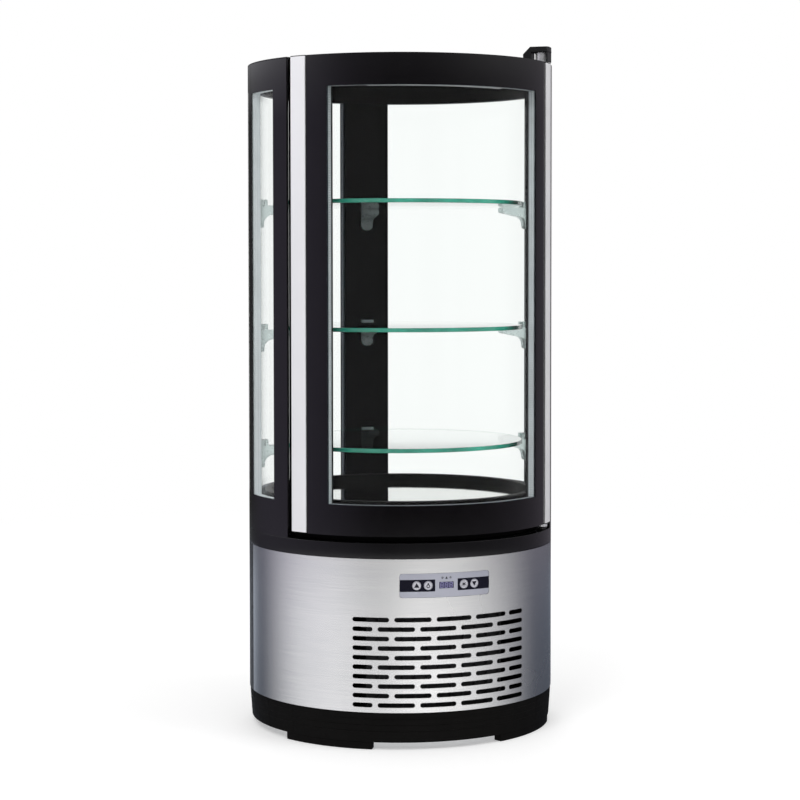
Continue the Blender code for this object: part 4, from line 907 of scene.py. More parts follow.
def make_unit(place, side, hand, start, end, window, clear):
    """Fixed unit of two panes; the print leaves clear, and the spacer leaves window."""
    low, high = span(hand, start, end)
    inner = wall(DOOR_INNER.inner, DOOR_INNER.outer, low, high, SIDE_PANE.bottom, SIDE_PANE.top)
    piece("%s_inner_glass_%s" % (place, side), inner, "glass",
          "%s_inner_pane_%s" % (place, side), shading="radial")
    ring = SIDE_PANE if place == "side" else REAR_PANE
    piece("%s_pane_%s" % (place, side), pane_grid(ring, low, high, clear), "glass print",
          "%s_outer_pane_%s" % (place, side), shading="radial")
    bar_deg = arc_deg(SPACER_WIDTH, DOOR_SPACER.outer)
    spacer = pierced(max(window[0] - bar_deg, low), min(window[1] + bar_deg, high),
                     window[2] - SPACER_WIDTH, window[3] + SPACER_WIDTH, [box(*window)],
                     DOOR_SPACER.inner, SIDE_PANE.inner - FILM_SETBACK - FILM)
    # Side units take a painted light copy of the spacer aluminium and rear units a painted shade
    # copy; the rear perforations are a painted shade copy too
    piece("%s_spacer_%s" % (place, side), spacer, place + "_spacer",
          body="cabinet", shading="flat")
    piece("%s_perforation_%s" % (place, side), dots_on(window),
          "dots" if place == "side" else "painted_shade_dots", body="cabinet",
          shading="flat")


def make_fixed_glazing():
    bar_deg = arc_deg(SPACER_WIDTH, DOOR_SPACER.outer)
    for hand, side in SIDES:
        front = SIDE_PANE.start + SIDE_BORDER_DEG
        window = span(hand, front, SIDE_PANE.end - bar_deg)
        clear = span(hand, front, SIDE_PANE.end - SIDE_EDGE_DEG)
        levels = [WINDOW_BOTTOM, WINDOW_TOP]
        make_unit("side", side, hand, SIDE_PANE.start, SIDE_PANE.end, window + levels,
                  clear + levels)
        # The rear units reach behind the column's front face
        start = POST_END_DEG + UNIT_GAP_DEG
        column = COLUMN_DEG if hand > 0.0 else 360.0 - COLUMN_DEG
        end = column - COLUMN_STEM_DEG - UNIT_GAP_DEG
        window = span(hand, start + bar_deg, end - bar_deg)
        window += [WINDOW_BOTTOM, WINDOW_TOP + REAR_RISE]
        make_unit("rear", side, hand, start, end, window, window)


# Door

CAP = 0.0012
CAP_GAP = 0.0001
INNER_WINDOW_DEG = WINDOW_DEG - 0.65
SEAL_WIDTH = 0.014
SEAL_BASE = 0.0026
BULB_INSET = 0.003
BULB_BEVEL = 0.0008
STRIP_LIP_DEG = 1.6
STRIP_CORNER = 0.0025
STRIP_NOSE = 0.0005


def frame_of(start, end, bottom, top, width, inner, outer):
    """Frame in a tube wall whose bars have one width."""
    bar = arc_deg(width, GASKET.outer)
    hole = box(start + bar, end - bar, bottom + width, top - width)
    return pierced(start, end, bottom, top, [hole], inner, outer)


def make_door():
    low, high = DOOR_PANE.start, DOOR_PANE.end
    bottom, top = DOOR_PANE.bottom, DOOR_PANE.top
    window = (-WINDOW_DEG, WINDOW_DEG, WINDOW_BOTTOM, WINDOW_TOP)
    piece("door_glass_outer", pane_grid(DOOR_PANE, low, high, window), "glass print",
          "door_outer_pane", shading="radial")
    inner = wall(DOOR_INNER.inner, DOOR_INNER.outer, low, high, bottom, top)
    piece("door_glass_inner", inner, "glass", "door_inner_pane",
          shading="radial")
    hole = box(-INNER_WINDOW_DEG, INNER_WINDOW_DEG, WINDOW_BOTTOM, WINDOW_TOP)
    back = pierced(low, high, bottom, top, [hole], DOOR_INNER.outer + FILM_SETBACK,
                   DOOR_INNER.outer + FILM)
    piece("door_border_inner", back, "print", body="door", shading="radial")
    spacer = pierced(*DOOR_SPACER[2:], [box(*window)], DOOR_SPACER.inner,
                     DOOR_PANE.inner - FILM_SETBACK - FILM)
    spacer = piece("door_spacer_frame", spacer, "spacer bright_spacer",
                   "door_spacer", shading="flat")
    # The faces that look sideways into the window get the painted light copy, the others the
    # painted shade copy
    second_finish(spacer, lambda face, out: abs(face.normal.z) < 0.5
                  and abs(face.normal.dot(out)) < 0.5)
    piece("door_perforation", dots_on(window), "dots", body="door",
          shading="flat")
    middle = GASKET.outer - SEAL_BASE
    base = frame_of(*GASKET[2:], SEAL_WIDTH, middle, GASKET.outer)
    inset_deg = arc_deg(BULB_INSET, GASKET.outer)
    bulb = frame_of(GASKET.start + inset_deg, GASKET.end - inset_deg,
                    GASKET.bottom + BULB_INSET, GASKET.top - BULB_INSET,
                    SEAL_WIDTH - 2.0 * BULB_INSET, GASKET.inner, middle)
    piece("door_seal", merged([base, bevel_sharp(bulb, BULB_BEVEL)]), "rubber",
          "door_gasket")


def make_strips():
    """Aluminium edge profiles of the door, each with a black cap at both ends."""
    face = STRIP.outer
    block = STRIP.start + STRIP_LIP_DEG
    lip_back = CASE_RADIUS + CLEAR
    nose_deg = arc_deg(STRIP_NOSE, face)
    corner_deg = arc_deg(STRIP_CORNER, face)
    plan = [(STRIP.inner, block), (lip_back, block), (lip_back, STRIP.start)]
    plan += arc((face - STRIP_NOSE, STRIP.start + nose_deg), (STRIP_NOSE, nose_deg), -90.0,
                0.0, 3)
    plan += arc((face - STRIP_CORNER, STRIP.end - corner_deg), (STRIP_CORNER, corner_deg),
                0.0, 90.0, 6)
    plan.append((STRIP.inner, STRIP.end))
    for hand, name in ((-1.0, "handle"), (1.0, "hinge")):
        side = turned(plan, hand)
        piece("door_%s_strip" % name, upright(side, STRIP.bottom + CAP, STRIP.top - CAP),
              "aluminium", name + "_profile")
        caps = [upright(side, STRIP.bottom, STRIP.bottom + CAP - CAP_GAP),
                upright(side, STRIP.top - CAP + CAP_GAP, STRIP.top)]
        piece("door_%s_caps" % name, merged(caps), "plastic", body="door")


# Top and hinges

LID_GROOVE = 0.021           # the groove in the lid is this far inside the lining
LID_GROOVE_HALF = 0.001
LID_GROOVE_DEPTH = 0.0008
LID_FLANGE = 0.0015
LID_ROUND = 0.0006
FLANGE_ROUND = 0.0005
LID_SCREWS = 8
LID_SCREW_INSET = 0.010
LAMP_FLAT = 0.0022           # half of the lamp's lower face
LAMP_SLOPE = 0.0016
LAMP_ROUND = 0.0008
# Screw heads as (radius, height) points from the edge to the socket's floor
LID_SCREW = ((0.0038, 0.0), (0.0036, 0.0007), (0.0024, 0.0013), (0.0014, 0.0014),
             (0.0012, 0.0007))
HINGE_SCREW = ((0.0036, 0.0), (0.0034, 0.0009), (0.0022, 0.0015), (0.0013, 0.0015),
               (0.0011, 0.0008))
PIN_RADIUS = 0.004
PIN_ROUND = 0.0006
PIN_CLEAR = 0.0004           # gap between a bush and the door
BUSH_RADIUS = 0.0095
BUSH_RIM = 0.0009            # chamfer of a bush
BUSH_BAND = 0.0022           # height of the full band at each end of a bush
BUSH_WAIST = 0.0004          # the middle is this much slimmer
BUSH_STEP = 0.0003           # height of the slope into the waist
HINGE_RADIUS = CASE_RADIUS - 0.010
HINGE_DEG = STRIP.end - 2.6
HINGE_PLATE = 0.0075
HINGE_WIDTH = 0.026
HINGE_REACH = 0.0125         # of the plate past the pin
HINGE_FOOT = 0.003
HINGE_SKIRT = 0.0018
HINGE_SKIRT_RISE = 0.001     # of the skirt's edge above the foot's underside
HINGE_BEVEL = 0.0008
PLATE_BEVEL = 0.0005
HINGE_SLOPE = 0.0105
HINGE_LEG = 0.0115           # the leg's back and the foot's end are this far inside the lining
HINGE_TAIL = 0.034
HINGE_SCREW_PLACE = 0.010
HINGE_SCREW_SPREAD = 0.0075
HINGE_ROUNDING = 0.005
HINGE_SETBACK = 0.003        # of the bottom plate from the case's outline


def screw(rim):
    """Screw head with a socket."""
    return lathe([(0.0, 0.0), *rim, (0.0, rim[-1][1])], 24)


def make_top():
    groove = LINING - LID_GROOVE
    body_bottom = CEILING.top + CLEAR
    body = [(0.0, body_bottom), (LINING, body_bottom), (LINING, CASE_TOP),
            (groove + LID_GROOVE_HALF, CASE_TOP), (groove, CASE_TOP - LID_GROOVE_DEPTH),
            (groove - LID_GROOVE_HALF, CASE_TOP), (0.0, CASE_TOP)]
    flange = wall(LINING - 0.001, CASE_RADIUS, SIDE_PANE.start, 360.0 - SIDE_PANE.start,
                  LID.top - LID_FLANGE, LID.top, FLANGE_ROUND)
    piece("lid", merged([sweep(fillet(body, LID_ROUND)), flange]), "paint",
          "top_cover")
    screws = []
    for index in range(LID_SCREWS):
        angle = 22.5 + 360.0 * index / LID_SCREWS
        screws.append(moved_to(screw(LID_SCREW), polar(LINING - LID_SCREW_INSET, angle, CASE_TOP)))
    piece("lid_screws", merged(screws), "chrome", body="cabinet")
    panel = box(0.0, CEILING.outer, CEILING.bottom, CEILING.top)
    piece("ceiling", sweep(fillet(panel, LID_ROUND)), "column", "ceiling_panel")
    middle = (LAMP.inner + LAMP.outer) / 2.0
    slope = LAMP.bottom + LAMP_SLOPE
    lamp = [(LAMP.inner, LAMP.top), (LAMP.inner, slope), (middle - LAMP_FLAT, LAMP.bottom),
            (middle + LAMP_FLAT, LAMP.bottom), (LAMP.outer, slope), (LAMP.outer, LAMP.top)]
    piece("lamp_cover", sweep(fillet(lamp, LAMP_ROUND, 3), LAMP.start, LAMP.end), "lamp",
          "led_lamp")


def hinge_pin(place, bush_low, bush_high):
    """Plated pin with a waisted bush, chamfered at its ends."""
    low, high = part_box("hinge_pin_" + place)
    pin = lathe(fillet(box(0.0, PIN_RADIUS, low.z, high.z), PIN_ROUND), 32)
    waist = BUSH_RADIUS - BUSH_WAIST
    band_low = bush_low + BUSH_BAND
    band_high = bush_high - BUSH_BAND
    bush = lathe([(0.0, bush_low), (BUSH_RADIUS - BUSH_RIM, bush_low),
                  (BUSH_RADIUS, bush_low + BUSH_RIM), (BUSH_RADIUS, band_low),
                  (waist, band_low + BUSH_STEP), (waist, band_high - BUSH_STEP),
                  (BUSH_RADIUS, band_high), (BUSH_RADIUS, bush_high - BUSH_RIM),
                  (BUSH_RADIUS - BUSH_RIM, bush_high), (0.0, bush_high)])
    axis = polar(HINGE_RADIUS, HINGE_DEG)
    piece(place + "_hinge_pin", moved_to(merged([pin, bush]), axis), "chrome",
          "hinge_pin_" + place)


def hinge_plate(outline, reach, corner):
    """Plate of a hinge whose outer end and sharp edges are rounded."""
    bm = radial_plate(outline, HINGE_WIDTH)
    edges = [edge for edge in bm.edges
             if all(abs(vert.co.x - reach) < 1e-5 for vert in edge.verts)
             and abs(edge.verts[0].co.z - edge.verts[1].co.z) > 1e-4
             and abs(edge.verts[0].co.y - edge.verts[1].co.y) < 1e-5]
    bmesh.ops.bevel(bm, geom=edges, offset=HINGE_ROUNDING, segments=6, profile=0.5,
                    affect="EDGES")
    return aim(bevel_sharp(bm, corner), HINGE_DEG)


def make_hinges():
    low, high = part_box("hinge_bracket_top")
    foot_top = low.z + HINGE_FOOT
    plate_bottom = high.z - HINGE_PLATE
    reach = HINGE_RADIUS + HINGE_REACH
    leg_inner = LINING - HINGE_LEG
    foot_end = LINING - HINGE_TAIL
    skirt = HINGE_RADIUS + BUSH_RADIUS + CLEAR
    skirt_bottom = low.z + HINGE_SKIRT_RISE
    outline = [(foot_end, low.z), (LINING, low.z), (LINING, plate_bottom),
               (skirt, plate_bottom), (skirt, skirt_bottom),
               (skirt + HINGE_SKIRT, skirt_bottom), (skirt + HINGE_SKIRT, plate_bottom),
               (reach, plate_bottom), (reach, high.z), (leg_inner + HINGE_SLOPE, high.z),
               (leg_inner, high.z - HINGE_SLOPE), (leg_inner, foot_top), (foot_end, foot_top)]
    piece("top_hinge_bracket", hinge_plate(outline, reach, HINGE_BEVEL), "paint",
          "hinge_bracket_top")
    screws = []
    for offset in (-HINGE_SCREW_SPREAD, HINGE_SCREW_SPREAD):
        place = (foot_end + HINGE_SCREW_PLACE, offset, foot_top)
        screws.append(aim(moved_to(screw(HINGE_SCREW), place), HINGE_DEG))
    piece("hinge_screws", merged(screws), "chrome", body="cabinet")
    hinge_pin("top", CASE_TOP + PIN_CLEAR, plate_bottom - CLEAR)
    low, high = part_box("hinge_bracket_bottom")
    reach = CASE_RADIUS - HINGE_SETBACK
    plate = hinge_plate(box(POST.inner, reach, low.z, high.z), reach, PLATE_BEVEL)
    piece("bottom_hinge_plate", plate, "paint", "hinge_bracket_bottom")
    hinge_pin("bottom", high.z + CLEAR, DOOR_PANE.bottom - PIN_CLEAR)


# Control panel

PRINT = 0.00008
BUTTON_RADIUS = 0.00625
BUTTON_RING = 0.0004         # gap round a button
BUTTON_COLLAR = 0.0015
BUTTON_NECK = 0.002          # thickness of the collar
# Face of a button: (inwards from its edge, depth) points
BUTTON_FACE = ((0.0, 0.0006), (0.0005, 0.0001), (0.0012, 0.0), (0.0016, 0.0003))
BUTTON_DISH = 0.00045
BUTTONS = {"up": -0.0426, "lamp": -0.0263, "defrost": 0.0263, "down": 0.0426}
FASCIA_SKIN = 0.0018
FASCIA_BACK = 0.0022         # the flange starts this far behind the face
PANEL_HALF_HEIGHT = 0.00835
PANEL_INNER_PLACE = 0.0165
LENS_SETBACK = 0.0003
LENS_GAP_DEG = 0.07
LENS_ROUND = 0.0002
FLANGE_SIDE = 0.003          # the flange reaches this far past the panel, sideways and up
FLANGE_RISE = 0.0033
BLACKS_GAP_DEG = 0.02
BLACKS_SINK = 0.00002
ICON_SIZE = 0.0030
ICON_DEPTH = 0.00038
ICON_STRETCH = (1.22, 1.22, 1.0, 1.0)
DIGIT_PLACES = (-0.0066, 0.0, 0.0066)
DIGIT_HALF_WIDTH = 0.0019
DIGIT_HALF_HEIGHT = 0.0035
DIGIT_LEAN = 0.08
DIGIT_GAP = 0.0004           # between a segment and its corner
DIGIT_STROKE = 0.00065


def flat_shape(points):
    """Thin shape from (x, y) points, standing on z = 0."""
    return extruded([Vector((x, y, -PRINT)) for x, y in points], UP * (2.0 * PRINT))


def ring_shape(outer, inner, centre=(0.0, 0.0), count=24):
    """Thin ring made of four-sided pieces."""
    outside = circle(outer, count, centre)
    inside = circle(inner, count, centre)
    return merged([flat_shape([outside[k - 1], outside[k], inside[k], inside[k - 1]])
                   for k in (*range(1, count), 0)])


def bar_shape(start, end, width):
    """Thin straight bar between two points."""
    first, last = Vector(start), Vector(end)
    way = (last - first).normalized()
    side = Vector((-way.y, way.x)) * width / 2.0
    return flat_shape([first - side, last - side, last + side, first + side])


def icon(name):
    """Generic symbol for a button: an arrow, a lamp or a snow star."""
    size = ICON_SIZE
    if name in ("up", "down"):
        hand = 1.0 if name == "up" else -1.0
        return flat_shape([(-size, -hand * size * 0.75), (size, -hand * size * 0.75),
                           (0.0, hand * size * 1.05)])
    if name == "lamp":
        return merged([ring_shape(0.0021, 0.0012, (0.0, -0.0008)),
                       flat_shape([(-0.0012, 0.0014), (0.0012, 0.0014), (0.0, 0.0034)])])
    tips = [Vector((math.cos(turn), math.sin(turn))) * size
            for turn in map(math.radians, (30.0, 90.0, 150.0))]
    return merged([bar_shape(-tip, tip, 0.0007) for tip in tips]
                  + [ring_shape(0.0014, 0.0008, count=12)])


def digit_shape(x):
    """Seven-segment figure centred at x, leaning a little, with all its segments."""
    wide, high = DIGIT_HALF_WIDTH, DIGIT_HALF_HEIGHT
    ends = (((-wide, high), (wide, high)), ((wide, high), (wide, 0)), ((wide, 0), (wide, -high)),
            ((-wide, -high), (wide, -high)), ((-wide, 0), (-wide, -high)),
            ((-wide, high), (-wide, 0)), ((-wide, 0), (wide, 0)))
    parts = []
    for (x0, y0), (x1, y1) in ends:
        dx, dy = (DIGIT_GAP, 0) if y0 == y1 else (0, -DIGIT_GAP)
        parts.append(bar_shape((x + x0 + dx + DIGIT_LEAN * y0, y0 + dy),
                               (x + x1 - dx + DIGIT_LEAN * y1, y1 - dy), DIGIT_STROKE))
    return merged(parts)


def button_holes(hands):
    """Holes for the buttons on the given sides of the panel's middle."""
    return [[(case_deg(x), CONTROL_LEVEL + y)
             for x, y in circle(BUTTON_RADIUS + BUTTON_RING, 32, (place, 0.0))]
            for place in BUTTONS.values() if math.copysign(1.0, place) in hands]


def make_controls():
    face = FASCIA.outer
    half_height = CONTROL_HALF_HEIGHT - CLEAR
    bottom, top = CONTROL_LEVEL - half_height, CONTROL_LEVEL + half_height
    plug_deg = CONTROL_HALF_DEG - case_deg(CLEAR)
    holes = button_holes((-1.0, 1.0))
    lens_hole = box(DISPLAY.start - LENS_GAP_DEG, DISPLAY.end + LENS_GAP_DEG,
                    DISPLAY.bottom - CLEAR, DISPLAY.top + CLEAR)
    skin = pierced(-plug_deg, plug_deg, bottom, top, holes + [lens_hole], face - FASCIA_SKIN,
                   face, box_loop(-plug_deg, plug_deg, bottom, top, CONTROL_CORNER,
                                  radius=face))
    flange_deg = CONTROL_HALF_DEG + case_deg(FLANGE_SIDE)
    flange = pierced(-flange_deg, flange_deg, bottom - FLANGE_RISE, top + FLANGE_RISE,
                     holes, FASCIA.inner, face - FASCIA_BACK)
    piece("fascia", merged([skin, flange]), "film", "control_fascia",
          shading="radial")
    blacks = []
    for hand, side in SIDES:
        low, high = span(hand, case_deg(PANEL_INNER_PLACE), plug_deg - BLACKS_GAP_DEG)
        blacks.append(pierced(low, high, CONTROL_LEVEL - PANEL_HALF_HEIGHT,
                              CONTROL_LEVEL + PANEL_HALF_HEIGHT, button_holes((hand,)),
                              face - BLACKS_SINK, face + PRINT))
    piece("panel_blacks", merged(blacks), "panel", body="cabinet",
          shading="radial")
    lens_face = DISPLAY.outer - LENS_SETBACK
    lens = wall(DISPLAY.inner, lens_face, DISPLAY.start, DISPLAY.end, DISPLAY.bottom,
                DISPLAY.top, LENS_ROUND)
    piece("display_lens", lens, "display", "display_window")
    figures = wrap_flat(merged([digit_shape(place) for place in DIGIT_PLACES]), lens_face)
    piece("display_figures", figures, "digit", body="cabinet", shading="flat")
    marks = [ring_shape(0.0015, 0.0007, (-0.0060, 0.0104), 10),
             flat_shape([(-0.0019, 0.0087), (0.0017, 0.0087), (-0.0001, 0.0121)]),
             ring_shape(0.0015, 0.0006, (0.0058, 0.0104), 6)]
    piece("panel_symbols", wrap_flat(merged(marks), face), "icon",
          body="cabinet", shading="flat")
    for name, place in BUTTONS.items():
        make_button(name, case_deg(place), face)


def make_button(name, angle, face):
    """Silver cap with a shallow dish, and its symbol in ink."""
    node = "button_" + name
    depth = face - min(vert.co.xy.length for vert in frame["nodes"][node].data.vertices)
    collar = BUTTON_RADIUS + BUTTON_COLLAR
    neck = BUTTON_NECK - depth
    profile = [(0.0, -depth), (collar, -depth), (collar, neck), (BUTTON_RADIUS, neck)]
    profile += [(BUTTON_RADIUS - inwards, -down) for inwards, down in BUTTON_FACE]
    cap = lathe(profile + [(0.0, -BUTTON_DISH)])
    piece("cap_" + name, on_face(cap, angle, face), "button", node)
    symbol = icon(name)
    symbol.transform(Matrix.Diagonal(ICON_STRETCH))
    symbol = on_face(moved_to(symbol, (0, 0, -ICON_DEPTH)), angle, face)
    piece("symbol_" + name, symbol, "icon", body=BODY_OF[node],
          shading="flat")


# Shelves

SHELF_BEVEL = 0.0008
BRACKET_DEG = 94.5
BRACKET_WIDTH = 0.018
BRACKET_REACH = 0.0435
BRACKET_HEAD = 0.0085        # height of the head above the arm
BRACKET_ARM = 0.0088         # height of the arm's tip
BRACKET_ROOT = 0.0138        # height of the arm's root
BRACKET_BEND = 0.0125        # radius between the arm and the leg
BRACKET_DROP = 0.0325        # length of the leg
BRACKET_LEG = 0.004          # depth of the leg
BRACKET_NOSE = 0.003         # radius of the arm's tip
BRACKET_NECK = 0.0090        # depth of the head
BRACKET_BEVEL = 0.0009
GROOVE_NEAR = 0.0036         # sides and floor of the groove in the head
GROOVE_FAR = 0.0050
GROOVE_FLOOR = -0.001


def bracket(back):
    """Leg with a half-round end, tapered arm and grooved head; z = 0 at the arm's top."""
    head, nose, bend = BRACKET_HEAD, BRACKET_NOSE, BRACKET_BEND
    tip = back - BRACKET_REACH + nose
    leg = back - BRACKET_LEG
    near, far, neck = back - GROOVE_NEAR, back - GROOVE_FAR, back - BRACKET_NECK
    outline = [(back, head), (near, head), (near, GROOVE_FLOOR), (far, GROOVE_FLOOR),
               (far, head), (neck, head), (neck, 0.0)]
    outline += arc((tip, -nose), (nose, nose), 90.0, 180.0, 6)
    outline += arc((tip, nose - BRACKET_ARM), (nose, nose), 180.0, 270.0, 6)
    outline += arc((leg - bend, -BRACKET_ROOT - bend), (bend, bend), 90.0, 0.0, 12)
    outline += [(leg, -BRACKET_DROP), (back, -BRACKET_DROP)]
    bm = radial_plate(outline, BRACKET_WIDTH)
    low = min(vert.co.z for vert in bm.verts)
    corners = [edge for edge in bm.edges
               if all(abs(vert.co.z - low) < 1e-5 for vert in edge.verts)
               and abs(edge.verts[0].co.x - edge.verts[1].co.x) > 1e-3]
    bmesh.ops.bevel(bm, geom=corners, offset=0.48 * BRACKET_WIDTH, segments=10, profile=0.5,
                    affect="EDGES")
    return bevel_sharp(bm, BRACKET_BEVEL, 3)


def make_shelves():
    half = BRACKET_WIDTH / 2.0
    post_back = math.sqrt(UNIT_INNER ** 2 - half ** 2) - CLEAR
    column_back = math.sqrt(COLUMN.inner ** 2 - half ** 2) - CLEAR
    places = (("left", -BRACKET_DEG, post_back), ("right", BRACKET_DEG, post_back),
              ("rear", COLUMN_DEG, column_back))
    for number in (1, 2, 3):
        node = "shelf_%d" % number
        ring = ring_of(node)
        outline = fillet(box(0.0, ring.outer, ring.bottom, ring.top), SHELF_BEVEL, 3)
        shelf = piece("glass_" + node, sweep(outline), "shelf_glass shelf_edge",
                      node)
        second_finish(shelf, lambda face, out: face.normal.dot(out) > 0.3)
        for place, angle, back in places:
            piece("bracket_%d_%s" % (number, place),
                  aim(bracket(back), angle, ring.bottom - CLEAR), "frosted",
                  "%s_bracket_%s" % (node, place))


def dress_cad_nodes():
    """Finishes of the CAD nodes that keep their shape."""
    finishes = {"base_pan": "zinc", "condenser_coil": "fins", "condenser_shroud": "plastic",
                "condenser_fan": "plastic", "compressor": "paint", "refrigerant_line": "copper",
                "power_inlet": "plastic", "evaporator_coil": "fins",
                "evaporator_fan_frame": "plastic", "evaporator_fan": "plastic"}
    for node, finish in finishes.items():
        for slot in frame["nodes"][node].material_slots:
            slot.material = MATERIALS[finish]


# Stage

WHITE = (1.0, 1.0, 1.0, 1.0)
AMBIENT = 0.66
FLOOR_GLOW = 0.32
FLOOR_FADE = (0.9, 2.6)       # distances at which the floor turns into the white backdrop
FLOOR_HALF = 7.0
FLOOR_DROP = 0.0002           # keeps the floor off the feet
STAGE_RADIUS = 4.0
STAGE_LOW = -3.2
STAGE_HIGH = 5.0
STAGE_COLUMNS = 144
STAGE_ROWS = 64
# Levels on the stage at which one zone turns into the next
FLAG_LOW = (-0.33, -0.24)
FLAG_HIGH = (1.15, 1.65)
LOW_BOOST = (-1.05, -0.30)    # the light grows between these levels, up to the flag
EDGE_BOOST = (-0.55, -0.33)
# Soft boxes as (middle angle, width to the left, width to the right, colour) in each zone
LOW_BASE = (0.050, 0.058, 0.075)
LOW_BOXES = ((-75.0, 74.0, 55.0, (0.70, 0.695, 0.69)),
             (3.0, 90.0, 105.0, (1.02, 1.005, 0.995)),
             (180.0, 45.0, 40.0, (0.25, 0.27, 0.30)))
MIDDLE_BASE = (0.042, 0.042, 0.042)
MIDDLE_BOXES = ((-95.0, 80.0, 75.0, (0.30, 0.27, 0.37)),
                (100.0, 85.0, 80.0, (0.16, 0.14, 0.175)))
HIGH_BASE = (0.30, 0.30, 0.31)
HIGH_BOXES = ((-120.0, 80.0, 70.0, (1.6, 1.6, 1.7)), (60.0, 70.0, 70.0, (0.8, 0.8, 0.8)))
# Name, place, size and power
LAMPS = (("key_lamp", (-1.9, -2.2, 2.6), 1.6, 38.0), ("fill_lamp", (2.2, -1.8, 2.2), 1.8, 22.0),
         ("back_lamp", (0.6, 2.4, 2.6), 1.8, 20.0))

CAMERA_DEG = -16.703
CAMERA_DISTANCE = 3.0987
CAMERA_LEVEL = 0.6755
CAMERA_AIM = 0.5531
CAMERA_LENS = 93.571
CAMERA_SHIFT = -0.065         # the photo's uprights hardly converge
CAMERA_ROLL = -0.0010


def lobe(turn, middle, left, right):
    """Smooth hump from 0 at its ends to 1 in its middle."""
    offset = (turn - middle + 180.0) % 360.0 - 180.0
    width = left if offset < 0.0 else right
    if abs(offset) >= width:
        return 0.0
    return math.cos(math.pi / 2.0 * offset / width) ** 2


def smooth(low, high, value):
    t = min(1.0, max(0.0, (value - low) / (high - low)))
    return t * t * (3.0 - 2.0 * t)


def zone_light(turn, base, boxes):
    light = Vector(base)
    for middle, left, right, colour in boxes:
        light += Vector(colour) * lobe(turn, middle, left, right)
    return light


def studio_light(turn, level):
    """Soft boxes below and above a dark flag, as the case's surfaces mirror them."""
    boost = 1.10 + smooth(*LOW_BOOST, level) + 0.8 * smooth(*EDGE_BOOST, level)
    low = zone_light(turn, LOW_BASE, LOW_BOXES) * boost
    middle = zone_light(turn, MIDDLE_BASE, MIDDLE_BOXES)
    high = zone_light(turn, HIGH_BASE, HIGH_BOXES)
    raised = smooth(*FLAG_LOW, level)
    topped = smooth(*FLAG_HIGH, level)
    return low * (1.0 - raised) + middle * (raised - topped) + high * topped


def make_cards():
    """Ring of soft boxes round the stage that only shows in reflections."""
    bm = bmesh.new()
    layer = bm.verts.layers.float_color.new("shade")
    grid = []
    for row in range(STAGE_ROWS + 1):
        level = STAGE_LOW + (STAGE_HIGH - STAGE_LOW) * row / STAGE_ROWS
        line = []
        for column in range(STAGE_COLUMNS):
            turn = -180.0 + 360.0 * column / STAGE_COLUMNS
            vert = bm.verts.new(polar(STAGE_RADIUS, turn, level))
            vert[layer] = (*studio_light(turn, level), 1.0)
            line.append(vert)
        grid.append(line)
    for below, above in zip(grid, grid[1:]):
        for column in range(STAGE_COLUMNS):
            after = (column + 1) % STAGE_COLUMNS
            bm.faces.new((below[column], below[after], above[after], above[column]))
    nodes = Nodes(bpy.data.materials.new("studio_cards"))
    shade = nodes.add("Attribute", attribute_name="shade").outputs["Color"]
    glow = nodes.add("Emission", Color=shade)
    nodes.add("OutputMaterial", Surface=glow.outputs["Emission"])
    cards = add_object("studio_cards", mesh_of("studio_cards", bm, [nodes.owner]))
    for ray in ("camera", "diffuse", "transmission", "shadow", "volume_scatter"):
        setattr(cards, "visible_" + ray, False)


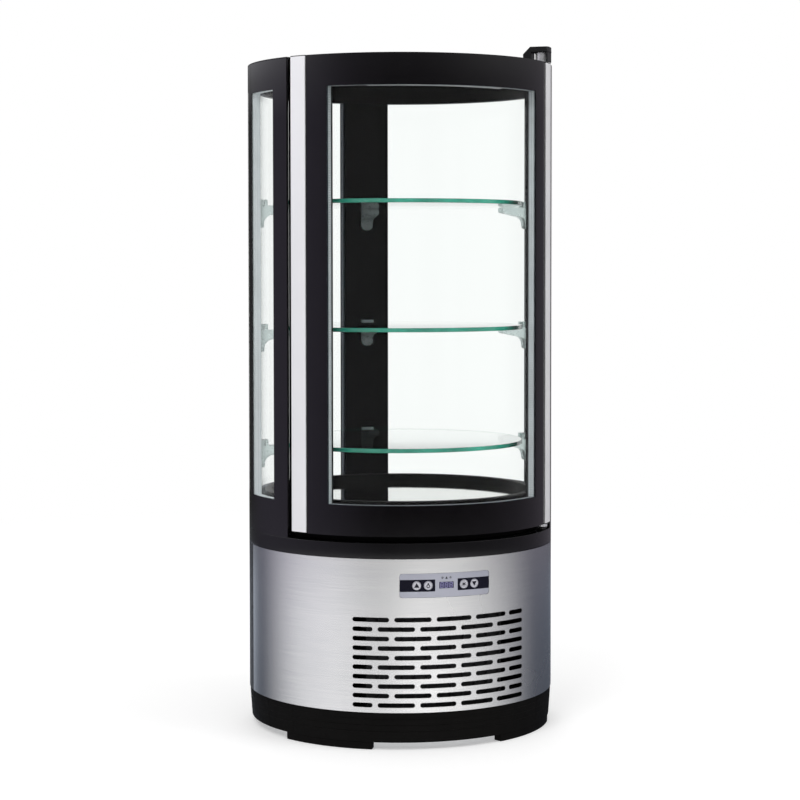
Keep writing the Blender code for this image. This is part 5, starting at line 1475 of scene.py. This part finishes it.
def make_floor_plane():
    """Pale floor that keeps the case's shadow and turns white with distance."""
    bm = bmesh.new()
    bmesh.ops.create_grid(bm, x_segments=8, y_segments=8, size=FLOOR_HALF)
    nodes = material_nodes("studio_floor")
    grey = nodes.ramp(nodes.noise(1.5), (0.80, 0.80, 0.80), (0.82, 0.82, 0.82))
    nodes.shade(Base_Color=grey, Roughness=0.9, Specular_IOR_Level=0.0)
    seen = nodes.any_ray("Is Camera Ray", "Is Transmission Ray")
    share = nodes.add("Math", operation="MULTIPLY", in0=seen, in1=FLOOR_GLOW)
    glow = nodes.add("Emission", Strength=share.outputs["Value"])
    near = nodes.add("AddShader", in0=nodes.shader.outputs["BSDF"],
                     in1=glow.outputs["Emission"])
    away = nodes.add("VectorMath", operation="LENGTH", in0=nodes.place)
    faded = nodes.spread(away.outputs["Value"], 0.0, 1.0, *FLOOR_FADE)
    far = nodes.add("Math", operation="MULTIPLY", in0=seen, in1=faded)
    nodes.show(nodes.mix(far.outputs["Value"], near, nodes.add("Emission")))
    floor = add_object("studio_floor", mesh_of("studio_floor", bm, [nodes.owner]))
    floor.location.z = -FLOOR_DROP
    floor.visible_glossy = False


def make_world():
    """White backdrop for what is looked at, and a dimmer light on surfaces."""
    world = bpy.data.worlds.new("studio")
    bpy.context.scene.world = world
    world.cycles.sampling_method = "NONE"
    nodes = Nodes(world)
    seen = nodes.any_ray("Is Camera Ray", "Is Glossy Ray", "Is Transmission Ray")
    ambient = nodes.add("Background", Color=WHITE, Strength=AMBIENT)
    white = nodes.add("Background", Color=WHITE, Strength=1.0)
    nodes.add("OutputWorld", Surface=nodes.mix(seen, ambient, white).outputs["Shader"])


def make_lamps():
    middle = Vector((0.0, 0.0, 0.5))
    for name, place, size, power in LAMPS:
        light = bpy.data.lights.new(name, "AREA")
        light.shape = "SQUARE"
        light.size = size
        light.energy = power
        lamp = add_object(name, light)
        lamp.location = place
        lamp.rotation_mode = "QUATERNION"
        lamp.rotation_quaternion = (middle - Vector(place)).to_track_quat("-Z", "Y")
        lamp.visible_camera = False
        lamp.visible_glossy = False
        lamp.visible_transmission = False


def make_camera():
    data = bpy.data.cameras.new("camera")
    data.lens = CAMERA_LENS
    data.sensor_width = 36.0
    data.shift_y = CAMERA_SHIFT
    data.clip_start = 0.05
    data.clip_end = 100.0
    camera = add_object("camera", data)
    place = polar(CAMERA_DISTANCE, CAMERA_DEG, CAMERA_LEVEL)
    look = (UP * CAMERA_AIM - place).to_track_quat("-Z", "Y").to_matrix().to_4x4()
    camera.matrix_world = (Matrix.Translation(place) @ look
                           @ Matrix.Rotation(CAMERA_ROLL, 4, "Z"))
    bpy.context.scene.camera = camera


bpy.context.scene.view_settings.view_transform = "Standard"
for make in (make_plinth, make_sheets, make_collar, make_floor, make_frame, make_fixed_glazing,
             make_door, make_strips, make_top, make_hinges, make_controls, make_shelves,
             dress_cad_nodes, make_cards, make_floor_plane, make_world, make_lamps, make_camera):
    make()
bpy.context.view_layer.update()
